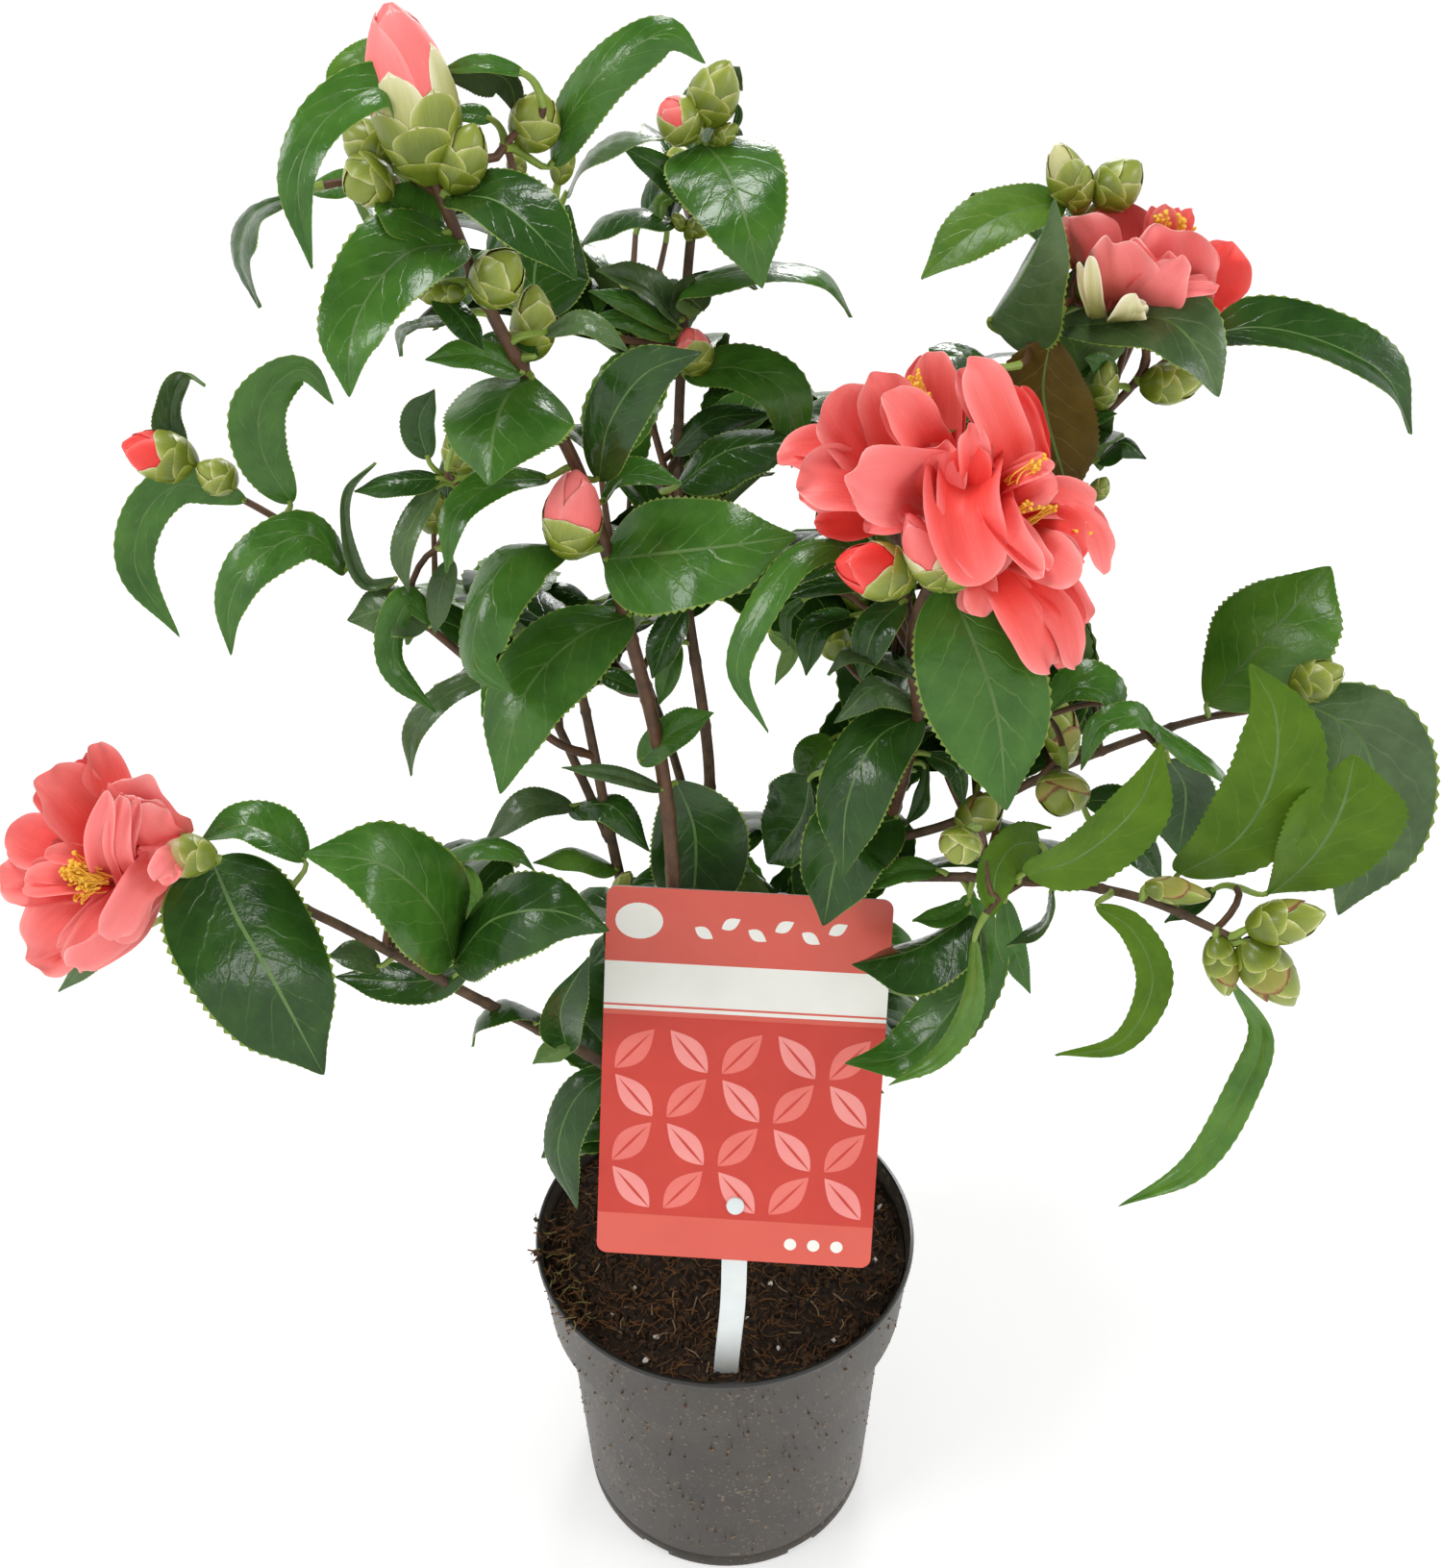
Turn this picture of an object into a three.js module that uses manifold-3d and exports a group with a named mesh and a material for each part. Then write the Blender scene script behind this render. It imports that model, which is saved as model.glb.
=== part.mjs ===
// A potted camellia: a multi-stemmed young shrub in flower, in a round nursery pot with a label on a stick.
// Millimetres, +Z up. The origin is the centre of the pot's underside; the label faces -Y.
import * as THREE from 'three';
import { mergeVertices } from 'three/addons/utils/BufferGeometryUtils.js';
import Module from 'manifold-3d';

const wasm = await Module();
wasm.setup();

// Driving dimensions.
const seatGap = 0.3; // clearance between pieces that touch
const cutGrowth = 0.8; // how much a foliage mass is grown before it cuts the next one
const massDetail = 2; // how finely a foliage mass is faceted
const massHeave = 0.07; // unevenness of a foliage mass, as a share of its radius
const tipSpread = 0.88; // cosine of the cone of a mass that is drawn out towards a tip

const pot = {
  height: 150,
  rimRadius: 85,
  collarFootRadius: 81,
  collarHeight: 38,
  shoulderRadius: 74,
  footRadius: 68,
  wall: 1.5,
  floor: 2.5,
  lipWidth: 2.6,
  lipHeight: 2,
  grooveHeight: 8,
  grooveDepth: 0.6,
  sides: 18,
};
const drain = {
  holes: 6,
  holeRadius: 4.5,
  holeSides: 6,
  circle: 48,
  notchWidth: 14,
  notchHeight: 3,
  notchDepth: 7,
};
const compost = { level: 139.5, mound: 1.5, moundRadius: 30 };

const card = {
  width: 107,
  height: 148,
  thickness: 0.8,
  corner: 4,
  at: [7, -43.5, 272.5],
  lean: [-19.5, 2, -3.5],
};
const stick = {
  width: 10,
  thickness: 1.6,
  path: [
    [0, -68.5, 106], [0, -70.5, 141], [3, -69, 180], [3.8, -65.4, 203], [4.4, -59, 222], [4.6, -57, 228],
  ],
  steps: 7,
  stud: { radius: 3.6, length: 6, sides: 12, down: 51, side: 0 },
};

// Every limb: its foot and tip radii, and the points its centre line runs through, foot first.
const limbSides = 6;
const limbStep = 36;
const limbs = {
  trunk: { radii: [9, 8], flare: 4, path: [[-1, 0, 134], [-5, -1, 172], [-10, -2, 206]] },
  left_leader: {
    radii: [4.2, 2],
    path: [
      [-12, -6, 200], [-17, -9, 290], [-20, -10, 384], [-29, -25, 449], [-42, -35, 508], [-62, -50, 558],
      [-73, -57, 594],
    ],
  },
  right_leader: {
    radii: [3.4, 1.8],
    path: [
      [-9, 2, 200], [-7, 13, 300], [-4, 15, 376], [-12, 22, 451], [-13, 25, 496], [-9, 25, 550],
      [-4, 24, 590],
    ],
  },
  left_stem: {
    radii: [3.4, 2],
    path: [[-15, 0, 200], [-30, 8, 270], [-41, 12, 336], [-47, 13, 383], [-50, 14, 405], [-54, 12, 432]],
  },
  right_stem: { radii: [4, 2.8], path: [[-5, -4, 196], [12, -2, 262], [38, -6, 318], [60, -14, 354]] },
  low_left_bough: {
    radii: [3, 1.8],
    path: [
      [-14, -3, 205], [-48, -25, 266], [-89, -42, 311], [-134, -55, 356], [-156, -58, 372],
      [-184, -66, 391],
    ],
  },
  left_bough: {
    radii: [2, 1.4],
    path: [[-47, 13, 383], [-61, 4, 395], [-87, 0, 428], [-129, 0, 468], [-158, 0, 489], [-180, 0, 500]],
  },
  centre_bloom_bough: {
    radii: [2.6, 2],
    path: [[58, -13, 350], [66, -20, 394], [67, -30, 420], [61, -46, 458], [66, -58, 486]],
  },
  centre_left_bloom_stalk: { radii: [1.8, 1.6], path: [[62, -44, 454], [56, -47, 482], [50, -49, 504]] },
  right_bough: {
    radii: [2.2, 1.6],
    path: [[62, -15, 362], [84, -18, 371], [121, -15, 391], [161, -10, 405], [186, -7, 410]],
  },
  low_right_bough: {
    radii: [2.4, 1.6],
    path: [
      [54, -12, 344], [88, -42, 363], [107, -60, 373], [125, -74, 379], [139, -82, 379], [164, -92, 371],
    ],
  },
  top_right_bough: {
    radii: [2, 1.6],
    path: [[67, -28, 416], [82, -14, 455], [93, -8, 488], [126, 0, 514], [136, -2, 530], [128, -8, 550]],
  },
  upper_right_twig: { radii: [1.5, 1.2], path: [[132, -1, 522], [150, -1, 535], [168, -2, 538]] },
  back_left_bough: {
    radii: [2.4, 1.6],
    path: [[-43, 12, 346], [-62, 32, 385], [-84, 58, 420], [-90, 68, 436]],
  },
  back_middle_bough: {
    radii: [2.6, 1.6],
    path: [[-6, 14, 325], [-18, 50, 360], [-38, 93, 400], [-45, 108, 420]],
  },
  back_right_bough: {
    radii: [2.6, 1.6],
    path: [[28, -4, 298], [52, 30, 345], [76, 82, 400], [85, 106, 432]],
  },
  low_back_bough: { radii: [2.6, 1.8], path: [[-7, 0, 188], [4, 28, 222], [14, 55, 262]] },
  crown_back_bough: { radii: [1.7, 1.4], path: [[-13, 23, 470], [-22, 40, 500], [-34, 60, 536]] },
};

// Open blooms and the big opening bud, as plain solids of their outer shape.
const blooms = {
  low_left_bloom: { at: [-206, -74, 393], half: [25, 30, 42], tips: [[-232, -76, 384], [-192, -72, 436]] },
  centre_left_bloom: { at: [44, -50, 520], half: [25, 23, 26], tips: [[19, -50, 514], [66, -50, 545]] },
  centre_right_bloom: {
    at: [83, -72, 503],
    half: [27, 25, 40],
    tips: [[112, -75, 489], [97, -80, 459], [70, -65, 546]],
  },
  upper_right_bloom: { at: [131, -12, 564], half: [25, 23, 16], tips: [[158, -10, 562], [104, -10, 574]] },
  opening_bud: { at: [-77, -58, 612], half: [11, 11, 19], tips: [[-78, -58, 633]], detail: 1 },
};

// Foliage masses: centre, half sizes along X, Y and Z, and the leaf tips that each one reaches out to.
const masses = {
  crown_left: {
    at: [-88, -45, 576],
    half: [38, 26, 34],
    tips: [[-136, -35, 560], [-100, -70, 538], [-105, -28, 618], [-50, -30, 610], [-38, -42, 565]],
  },
  crown_right: {
    at: [-3, 18, 590],
    half: [35, 27, 28],
    tips: [[-2, 20, 618], [15, 0, 554], [44, 10, 543], [-14, 20, 624], [-47, 30, 579]],
  },
  crown_middle: {
    at: [-38, -12, 533],
    half: [48, 28, 28],
    tips: [[-108, -30, 533], [-33, -20, 557], [27, 0, 500]],
  },
  crown_back: {
    at: [-38, 70, 548],
    half: [40, 26, 34],
    tips: [[-72, 76, 566], [6, 80, 542], [-40, 92, 516]],
  },
  left_shoot: {
    at: [-165, 0, 478],
    half: [28, 18, 34],
    tips: [[-188, 0, 437], [-171, 0, 430], [-123, 0, 520], [-170, 8, 528], [-203, 0, 476], [-194, 0, 507]],
  },
  left_inner: {
    at: [-105, 4, 450],
    half: [19, 22, 50],
    tips: [[-112, 0, 503], [-114, 0, 382], [-128, 0, 454]],
  },
  left_back: {
    at: [-90, 70, 440],
    half: [30, 27, 38],
    tips: [[-124, 86, 424], [-98, 76, 482], [-84, 98, 416]],
  },
  middle: {
    at: [-32, -18, 450],
    half: [46, 32, 44],
    tips: [[-69, -40, 505], [25, -40, 488], [-74, -40, 396], [-78, -40, 437], [17, -20, 409]],
  },
  middle_back: {
    at: [-40, 110, 420],
    half: [44, 32, 42],
    tips: [[-92, 128, 404], [-48, 148, 430], [2, 126, 398]],
  },
  low_left_outer: {
    at: [-154, -60, 350],
    half: [40, 21, 34],
    tips: [[-140, -75, 303], [-192, -70, 378], [-130, -40, 397], [-190, -66, 342]],
  },
  low_left_inner: {
    at: [-82, -30, 338],
    half: [34, 23, 37],
    tips: [[-40, -45, 346], [-97, -30, 281], [-86, -20, 366], [-62, -20, 258]],
  },
  base_leaf: {
    at: [-57, -40, 244],
    half: [13, 10, 28],
    tips: [[-49, -50, 211], [-66, -33, 280], [-68, -50, 250]],
    detail: 1,
  },
  low_middle: {
    at: [4, -10, 374],
    half: [38, 22, 24],
    tips: [[-30, -15, 362], [36, -45, 354], [48, -35, 368], [2, -20, 402]],
  },
  low_back: { at: [15, 66, 270], half: [46, 32, 38], tips: [[-38, 84, 258], [18, 104, 262], [66, 78, 288]] },
  centre_right: {
    at: [84, -28, 420],
    half: [42, 28, 37],
    tips: [[91, -60, 402], [133, -30, 438], [38, -20, 472], [31, -20, 414]],
  },
  right_back: {
    at: [86, 110, 436],
    half: [36, 28, 38],
    tips: [[128, 124, 430], [84, 146, 444], [60, 122, 478]],
  },
  right_back_low: { at: [94, 66, 382], half: [29, 24, 28], tips: [[132, 80, 376], [100, 78, 346]] },
  upper_right: {
    at: [110, -4, 535],
    half: [33, 25, 33],
    tips: [[62, 0, 562], [155, -20, 525], [95, -10, 595], [128, 0, 588], [129, 8, 483]],
  },
  upper_right_spur: {
    at: [184, -2, 534],
    half: [38, 10, 14],
    tips: [[228, 0, 505], [222, 0, 522], [150, -2, 538]],
    detail: 1,
  },
  right_outer: {
    at: [208, -12, 408],
    half: [38, 20, 48],
    tips: [[208, -4, 470], [258, -18, 374], [231, -20, 331], [163, -4, 443], [166, -20, 355]],
  },
  low_right: {
    at: [128, -68, 411],
    half: [34, 22, 34],
    tips: [[102, -95, 391], [168, -70, 400], [124, -60, 450], [92, -60, 416]],
  },
  low_right_hang: {
    at: [150, -92, 336],
    half: [24, 12, 40],
    tips: [[138, -98, 262], [111, -92, 327], [178, -95, 346], [184, -98, 354], [152, -88, 378]],
  },
  inner_right: {
    at: [74, -48, 328],
    half: [27, 15, 30],
    tips: [[44, -62, 299], [112, -48, 319], [80, -44, 364]],
  },
};

const finishes = {
  pot_plastic: { color: '#3f3f3e', roughness: 0.62 },
  compost: { color: '#2c1d14', roughness: 1 },
  card_print: { color: '#e4675c', roughness: 0.3 },
  stick_plastic: { color: '#e9edec', roughness: 0.4 },
  bark: { color: '#6b4a36', roughness: 0.8 },
  foliage: { color: '#2d5a2b', roughness: 0.35 },
  petals: { color: '#f4656c', roughness: 0.55 },
};
const materials = {};
for (const [name, finish] of Object.entries(finishes)) {
  materials[name] = new THREE.MeshStandardMaterial({ name, metalness: 0, ...finish });
}

const vec = (p) => new THREE.Vector3(...p);

// A closed mesh geometry as a solid that can be joined and cut, and back again.
function solidOf(geometry) {
  const bare = geometry.clone();
  bare.deleteAttribute('normal');
  bare.deleteAttribute('uv');
  const merged = mergeVertices(bare, 1e-4);
  return new wasm.Manifold(new wasm.Mesh({
    numProp: 3,
    vertProperties: new Float32Array(merged.attributes.position.array),
    triVerts: new Uint32Array(merged.index.array),
  }));
}

function geometryOf(solid) {
  const mesh = solid.getMesh();
  const geometry = new THREE.BufferGeometry();
  geometry.setAttribute('position', new THREE.BufferAttribute(new Float32Array(mesh.vertProperties), 3));
  geometry.setIndex(new THREE.BufferAttribute(new Uint32Array(mesh.triVerts), 1));
  geometry.computeVertexNormals();
  return geometry;
}

// What is left of a solid once others are cut away: its biggest body, without loose slivers.
function cutBack(solid, cutters) {
  let left = solid;
  for (const cutter of cutters) left = left.subtract(cutter);
  const bodies = left.decompose();
  return bodies.reduce((best, body) => (body.volume() > best.volume() ? body : best));
}

// A closed solid swept along rings of points, foot first, with flat ends.
function loft(rings) {
  const sides = rings[0].length;
  const positions = rings.flat().flatMap((p) => [p.x, p.y, p.z]);
  const index = [];
  for (let r = 0; r + 1 < rings.length; r += 1) {
    for (let s = 0; s < sides; s += 1) {
      const a = r * sides + s;
      const b = r * sides + ((s + 1) % sides);
      index.push(a, b, b + sides, a, b + sides, a + sides);
    }
  }
  const last = (rings.length - 1) * sides;
  for (let s = 1; s + 1 < sides; s += 1) {
    index.push(0, s + 1, s);
    index.push(last, last + s, last + s + 1);
  }
  const geometry = new THREE.BufferGeometry();
  geometry.setAttribute('position', new THREE.Float32BufferAttribute(positions, 3));
  geometry.setIndex(index);
  return geometry;
}

// A round limb that tapers from its foot to its tip, with an optional root flare.
function limbSolid({ path, radii, flare = 0 }, growth = 0) {
  const curve = new THREE.CatmullRomCurve3(path.map(vec), false, 'centripetal');
  const steps = Math.max(3, Math.round(curve.getLength() / limbStep));
  const frames = curve.computeFrenetFrames(steps, false);
  const rings = [];
  for (let i = 0; i <= steps; i += 1) {
    const t = i / steps;
    const centre = curve.getPointAt(t);
    if (growth && i === 0) centre.addScaledVector(frames.tangents[0], -growth);
    if (growth && i === steps) centre.addScaledVector(frames.tangents[i], growth);
    const radius = THREE.MathUtils.lerp(radii[0], radii[1], t) + flare * (1 - t) ** 6 + growth;
    const ring = [];
    for (let s = 0; s < limbSides; s += 1) {
      const angle = (s / limbSides) * 2 * Math.PI;
      ring.push(centre.clone()
        .addScaledVector(frames.normals[i], radius * Math.cos(angle))
        .addScaledVector(frames.binormals[i], radius * Math.sin(angle)));
    }
    rings.push(ring);
  }
  return solidOf(loft(rings));
}

// An uneven rounded solid about its centre, drawn out to each of its tips.
function massSolid({ at, half, tips, detail = massDetail }, growth = 0) {
  const centre = vec(at);
  const bare = new THREE.IcosahedronGeometry(1, detail);
  bare.deleteAttribute('normal');
  bare.deleteAttribute('uv');
  const geometry = mergeVertices(bare, 1e-4);
  const points = geometry.attributes.position;
  const arms = tips.map((tip) => vec(tip).sub(centre));
  const phase = (at[0] + 2 * at[1] + 3 * at[2]) / 40;
  const directions = [];
  for (let i = 0; i < points.count; i += 1) {
    const d = new THREE.Vector3().fromBufferAttribute(points, i).normalize();
    directions.push(d.clone());
    const plain = 1 / Math.hypot(d.x / half[0], d.y / half[1], d.z / half[2]);
    const heave = Math.sin(4 * d.x + phase) * Math.cos(5 * d.y - phase) + Math.sin(5 * d.z + 2 * phase);
    let radius = plain * (1 + massHeave * heave);
    for (const arm of arms) {
      const near = THREE.MathUtils.smoothstep(d.dot(arm) / arm.length(), tipSpread, 1);
      radius = Math.max(radius, THREE.MathUtils.lerp(radius, arm.length(), near));
    }
    d.multiplyScalar(radius + growth).add(centre);
    points.setXYZ(i, d.x, d.y, d.z);
  }
  for (const arm of arms) {
    const unit = arm.clone().normalize();
    const nearest = directions.reduce(
      (best, d, i) => (d.dot(unit) > directions[best].dot(unit) ? i : best), 0);
    const end = unit.multiplyScalar(arm.length() + growth).add(centre);
    points.setXYZ(nearest, end.x, end.y, end.z);
  }
  return solidOf(geometry);
}

const plant = new THREE.Group();

function addNode(name, solidOrGeometry, finish, parent = plant) {
  const geometry = solidOrGeometry.isBufferGeometry ? solidOrGeometry : geometryOf(solidOrGeometry);
  const mesh = new THREE.Mesh(geometry, materials[finish]);
  mesh.name = name;
  parent.add(mesh);
  return mesh;
}

// The pot: a thin moulded shell with a stepped collar, a rolled lip, a groove above its foot and drainage.
const collarFoot = pot.height - pot.collarHeight;
const foot = pot.footRadius;
const bodyRadiusAt = (z) => THREE.MathUtils.lerp(foot, pot.shoulderRadius, z / collarFoot);
function potSolid() {
  const inside = pot.rimRadius - pot.wall;
  const outline = [
    [0, 0],
    [foot, 0],
    [bodyRadiusAt(pot.grooveHeight - 1), pot.grooveHeight - 1],
    [bodyRadiusAt(pot.grooveHeight) - pot.grooveDepth, pot.grooveHeight],
    [bodyRadiusAt(pot.grooveHeight + 1), pot.grooveHeight + 1],
    [pot.shoulderRadius, collarFoot],
    [pot.collarFootRadius, collarFoot + 1],
    [pot.rimRadius - pot.lipWidth + pot.wall, pot.height - pot.lipHeight - 1],
    [pot.rimRadius, pot.height - pot.lipHeight],
    [pot.rimRadius, pot.height],
    [inside - 0.5, pot.height],
    [pot.collarFootRadius - pot.wall - 0.5, collarFoot + 2.5],
    [pot.shoulderRadius - pot.wall - 0.5, collarFoot - 1.5],
    [foot - pot.wall, pot.floor],
    [0, pot.floor],
  ];
  const shell = new THREE.LatheGeometry(outline.map(([x, y]) => new THREE.Vector2(x, y)), pot.sides);
  shell.rotateX(Math.PI / 2);
  const cutters = [];
  for (let i = 0; i < drain.holes; i += 1) {
    const angle = ((i + 0.5) / drain.holes) * 2 * Math.PI;
    const hole = new THREE.CylinderGeometry(
      drain.holeRadius, drain.holeRadius, 4 * pot.floor, drain.holeSides);
    hole.rotateX(Math.PI / 2).translate(drain.circle, 0, pot.floor / 2).rotateZ(angle);
    const notch = new THREE.BoxGeometry(2 * drain.notchDepth, drain.notchWidth, 2 * drain.notchHeight);
    notch.translate(foot, 0, 0).rotateZ(angle + Math.PI / drain.holes);
    cutters.push(solidOf(hole), solidOf(notch));
  }
  return cutBack(solidOf(shell), cutters);
}

function compostSolid(stickCutter) {
  const clear = pot.wall + seatGap;
  const top = compost.level + compost.mound;
  const wallAtLevel = THREE.MathUtils.mapLinear(
    compost.level, collarFoot, pot.height, pot.collarFootRadius, pot.rimRadius - 1);
  const outline = [
    [0, pot.floor + seatGap],
    [foot - clear, pot.floor + seatGap],
    [pot.shoulderRadius - clear - 0.6, collarFoot - 1.5],
    [pot.collarFootRadius - clear - 0.8, collarFoot + 3],
    [wallAtLevel - clear - 0.8, compost.level - 1],
    [compost.moundRadius, compost.level + 0.7 * compost.mound],
    [compost.moundRadius / 2, top],
    [0, top],
  ];
  const body = new THREE.LatheGeometry(outline.map(([x, y]) => new THREE.Vector2(x, y)), pot.sides);
  body.rotateX(Math.PI / 2);
  return cutBack(solidOf(body), [stickCutter]);
}

// The label's stick: a flat strip that stands in the compost and bends back behind the card.
function stickSolid(growth = 0) {
  const curve = new THREE.CatmullRomCurve3(stick.path.map(vec), false, 'centripetal');
  const { steps } = stick;
  const rings = [];
  for (let i = 0; i <= steps; i += 1) {
    const along = curve.getTangentAt(i / steps);
    const across = new THREE.Vector3(1, 0, 0).addScaledVector(along, -along.x).normalize();
    const out = new THREE.Vector3().crossVectors(along, across);
    const centre = curve.getPointAt(i / steps);
    if (growth && i === 0) centre.addScaledVector(along, -growth);
    const w = stick.width / 2 + growth;
    const h = stick.thickness / 2 + growth;
    rings.push([[-w, -h], [w, -h], [w, h], [-w, h]]
      .map(([u, v]) => centre.clone().addScaledVector(across, u).addScaledVector(out, v)));
  }
  return solidOf(loft(rings));
}

// The card leans back on its stick; a stud on the stick goes through a hole in it.
const cardPlace = new THREE.Matrix4().compose(
  vec(card.at),
  new THREE.Quaternion().setFromEuler(
    new THREE.Euler(...card.lean.map((a) => THREE.MathUtils.degToRad(a)), 'ZYX')),
  new THREE.Vector3(1, 1, 1));

function cardSolid() {
  const [w, h, r] = [card.width / 2, card.height / 2, card.corner];
  const outline = new THREE.Shape();
  outline.absarc(w - r, h - r, r, 0, Math.PI / 2);
  outline.absarc(-w + r, h - r, r, Math.PI / 2, Math.PI);
  outline.absarc(-w + r, -h + r, r, Math.PI, 1.5 * Math.PI);
  outline.absarc(w - r, -h + r, r, 1.5 * Math.PI, 2 * Math.PI);
  const sheet = new THREE.ExtrudeGeometry(
    outline, { depth: card.thickness, bevelEnabled: false, curveSegments: 3 });
  sheet.rotateX(Math.PI / 2).translate(0, card.thickness / 2, 0).applyMatrix4(cardPlace);
  return solidOf(sheet);
}

function studSolid(growth = 0) {
  const { radius, length, sides, down, side } = stick.stud;
  const stud = new THREE.CylinderGeometry(radius + growth, radius + growth, length, sides);
  stud.translate(side, length / 2 - 1.2, -down).applyMatrix4(cardPlace);
  return solidOf(stud);
}

const stickWithStud = stickSolid().add(studSolid());
addNode('pot', potSolid(), 'pot_plastic');
addNode('compost', compostSolid(stickSolid(seatGap)), 'compost');
addNode('label_card', cutBack(cardSolid(), [studSolid(seatGap)]), 'card_print');
addNode('label_stick', stickWithStud, 'stick_plastic');

// Limbs, thick ones first: each later one is seated on those before it, and the trunk on the compost.
const groundDepth = 20;
const ground = new THREE.BoxGeometry(2 * pot.footRadius, 2 * pot.footRadius, groundDepth);
ground.translate(0, 0, compost.level + compost.mound + seatGap - groundDepth / 2);
const limbCutters = [solidOf(ground)];
for (const [name, limb] of Object.entries(limbs)) {
  addNode(name, cutBack(limbSolid(limb), limbCutters), 'bark');
  limbCutters.push(limbSolid(limb, seatGap + 0.05));
}

// Blooms and masses close round the limbs and lie beside each other.
const labelCutters = [cardSolid(), stickWithStud];
const softCutters = [];
for (const [finish, solids] of [['petals', blooms], ['foliage', masses]]) {
  for (const [name, shape] of Object.entries(solids)) {
    addNode(name, cutBack(massSolid(shape), [...limbCutters, ...labelCutters, ...softCutters]), finish);
    softCutters.push(massSolid(shape, cutGrowth));
  }
}

export default plant;
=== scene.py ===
# A potted camellia in flower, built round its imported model. Metres, +Z up.
import math
import bpy
import numpy as np
from mathutils import Matrix, Vector


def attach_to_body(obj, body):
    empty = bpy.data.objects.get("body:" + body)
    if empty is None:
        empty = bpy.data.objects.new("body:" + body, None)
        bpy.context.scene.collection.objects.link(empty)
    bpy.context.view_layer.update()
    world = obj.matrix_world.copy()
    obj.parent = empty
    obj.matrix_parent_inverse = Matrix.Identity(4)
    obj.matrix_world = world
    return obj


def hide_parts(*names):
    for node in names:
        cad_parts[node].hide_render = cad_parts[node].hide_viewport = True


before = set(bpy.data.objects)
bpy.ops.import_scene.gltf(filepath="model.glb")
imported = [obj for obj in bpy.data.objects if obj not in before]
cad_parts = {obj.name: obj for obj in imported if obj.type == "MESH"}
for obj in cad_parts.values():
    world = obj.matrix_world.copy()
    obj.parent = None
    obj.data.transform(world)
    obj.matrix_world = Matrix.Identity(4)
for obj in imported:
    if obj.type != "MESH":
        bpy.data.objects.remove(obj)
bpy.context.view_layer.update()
mm = 0.001
dice = np.random.default_rng(7)
print("frame loaded")

goldenTurn = math.radians(137.5)  # from each scale or leaf to the next one round its stem

# The view: where the eye is, and where a place seen in it lies in the room.
view = {
    "wide": 1500, "high": 1631, "focal": 1450,
    "eye": (0.0005, -0.4504, 0.6334), "down": 29.56, "roll": -0.624, "sensor": 36,
}
eyeAt = np.array(view["eye"])
viewDown = math.radians(view["down"])
viewRoll = math.radians(view["roll"])
viewRight = np.array([1.0, 0.0, 0.0])
viewAhead = np.array([0.0, math.cos(viewDown), -math.sin(viewDown)])
viewUp = np.array([0.0, math.sin(viewDown), math.cos(viewDown)])


def inView(across, down, depth):  # the point at y = depth that is seen at this place
    x, y = across - view["wide"] / 2, down - view["high"] / 2
    c, s = math.cos(viewRoll), math.sin(viewRoll)
    ray = ((c * x + s * y) * viewRight - (c * y - s * x) * viewUp) / view["focal"] + viewAhead
    return eyeAt + ray * (depth - eyeAt[1]) / ray[1]


def seenAt(points):  # the places in the view where points are seen, and pixels for each metre there
    off = np.atleast_2d(points) - eyeAt
    far = off @ viewAhead
    x, y = view["focal"] * (off @ viewRight) / far, -view["focal"] * (off @ viewUp) / far
    c, s = math.cos(viewRoll), math.sin(viewRoll)
    places = np.stack([view["wide"] / 2 + c * x - s * y, view["high"] / 2 + s * x + c * y], -1)
    return places, view["focal"] / far


def linear(hexText):  # sRGB hex to linear colour
    parts = [int(hexText[i:i + 2], 16) / 255 for i in (1, 3, 5)]
    return tuple(p / 12.92 if p <= 0.04045 else ((p + 0.055) / 1.055) ** 2.4 for p in parts) + (1.0,)


def addNode(tree, kind, values=None, links=None, **settings):
    node = tree.nodes.new(kind)
    for name, value in settings.items():
        setattr(node, name, value)
    for name, value in (values or {}).items():
        node.inputs[name].default_value = value
    for name, source in (links or {}).items():
        tree.links.new(source, node.inputs[name])
    return node


def newMaterial(name, **values):
    material = bpy.data.materials.new(name)
    material.use_nodes = True
    tree = material.node_tree
    shader = tree.nodes["Principled BSDF"]
    for key, value in values.items():
        shader.inputs[key.replace("_", " ")].default_value = value
    return material, tree, shader


def mottled(name, dark, light, patch, grain, depth, **values):
    # Two close colours in patches, and a fine relief: patch, grain and depth are real sizes, in mm.
    material, tree, shader = newMaterial(name, **values)
    coords = addNode(tree, "ShaderNodeTexCoord").outputs["Object"]
    clouds = addNode(tree, "ShaderNodeTexNoise", {"Scale": 1 / (patch * mm), "Detail": 4, "Roughness": 0.6},
                     {"Vector": coords})
    ramp = addNode(tree, "ShaderNodeValToRGB", links={"Fac": clouds.outputs["Fac"]})
    for element, where, colour in zip(ramp.color_ramp.elements, (0.25, 0.75), (dark, light)):
        element.position, element.color = where, linear(colour)
    tree.links.new(ramp.outputs["Color"], shader.inputs["Base Color"])
    fine = addNode(tree, "ShaderNodeTexNoise", {"Scale": 1 / (grain * mm), "Detail": 3, "Roughness": 0.65},
                   {"Vector": coords})
    bump = addNode(tree, "ShaderNodeBump", {"Strength": 0.6, "Distance": depth * mm},
                   {"Height": fine.outputs["Fac"]})
    tree.links.new(bump.outputs["Normal"], shader.inputs["Normal"])
    return material


def maths(tree, operation, *values):
    node = tree.nodes.new("ShaderNodeMath")
    node.operation = operation
    for socket, value in zip(node.inputs, values):
        if isinstance(value, (int, float)):
            socket.default_value = value
        else:
            tree.links.new(value, socket)
    return node.outputs[0]


def bladePlaces(tree):  # how far along a blade, and how far out from its middle line, each from 0 to 1
    places = addNode(tree, "ShaderNodeUVMap", uv_map="blade").outputs["UV"]
    parts = addNode(tree, "ShaderNodeSeparateXYZ", links={"Vector": places})
    away = maths(tree, "ABSOLUTE", maths(tree, "MULTIPLY_ADD", parts.outputs["Y"], 2, -1))
    return parts.outputs["X"], away, places


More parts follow.
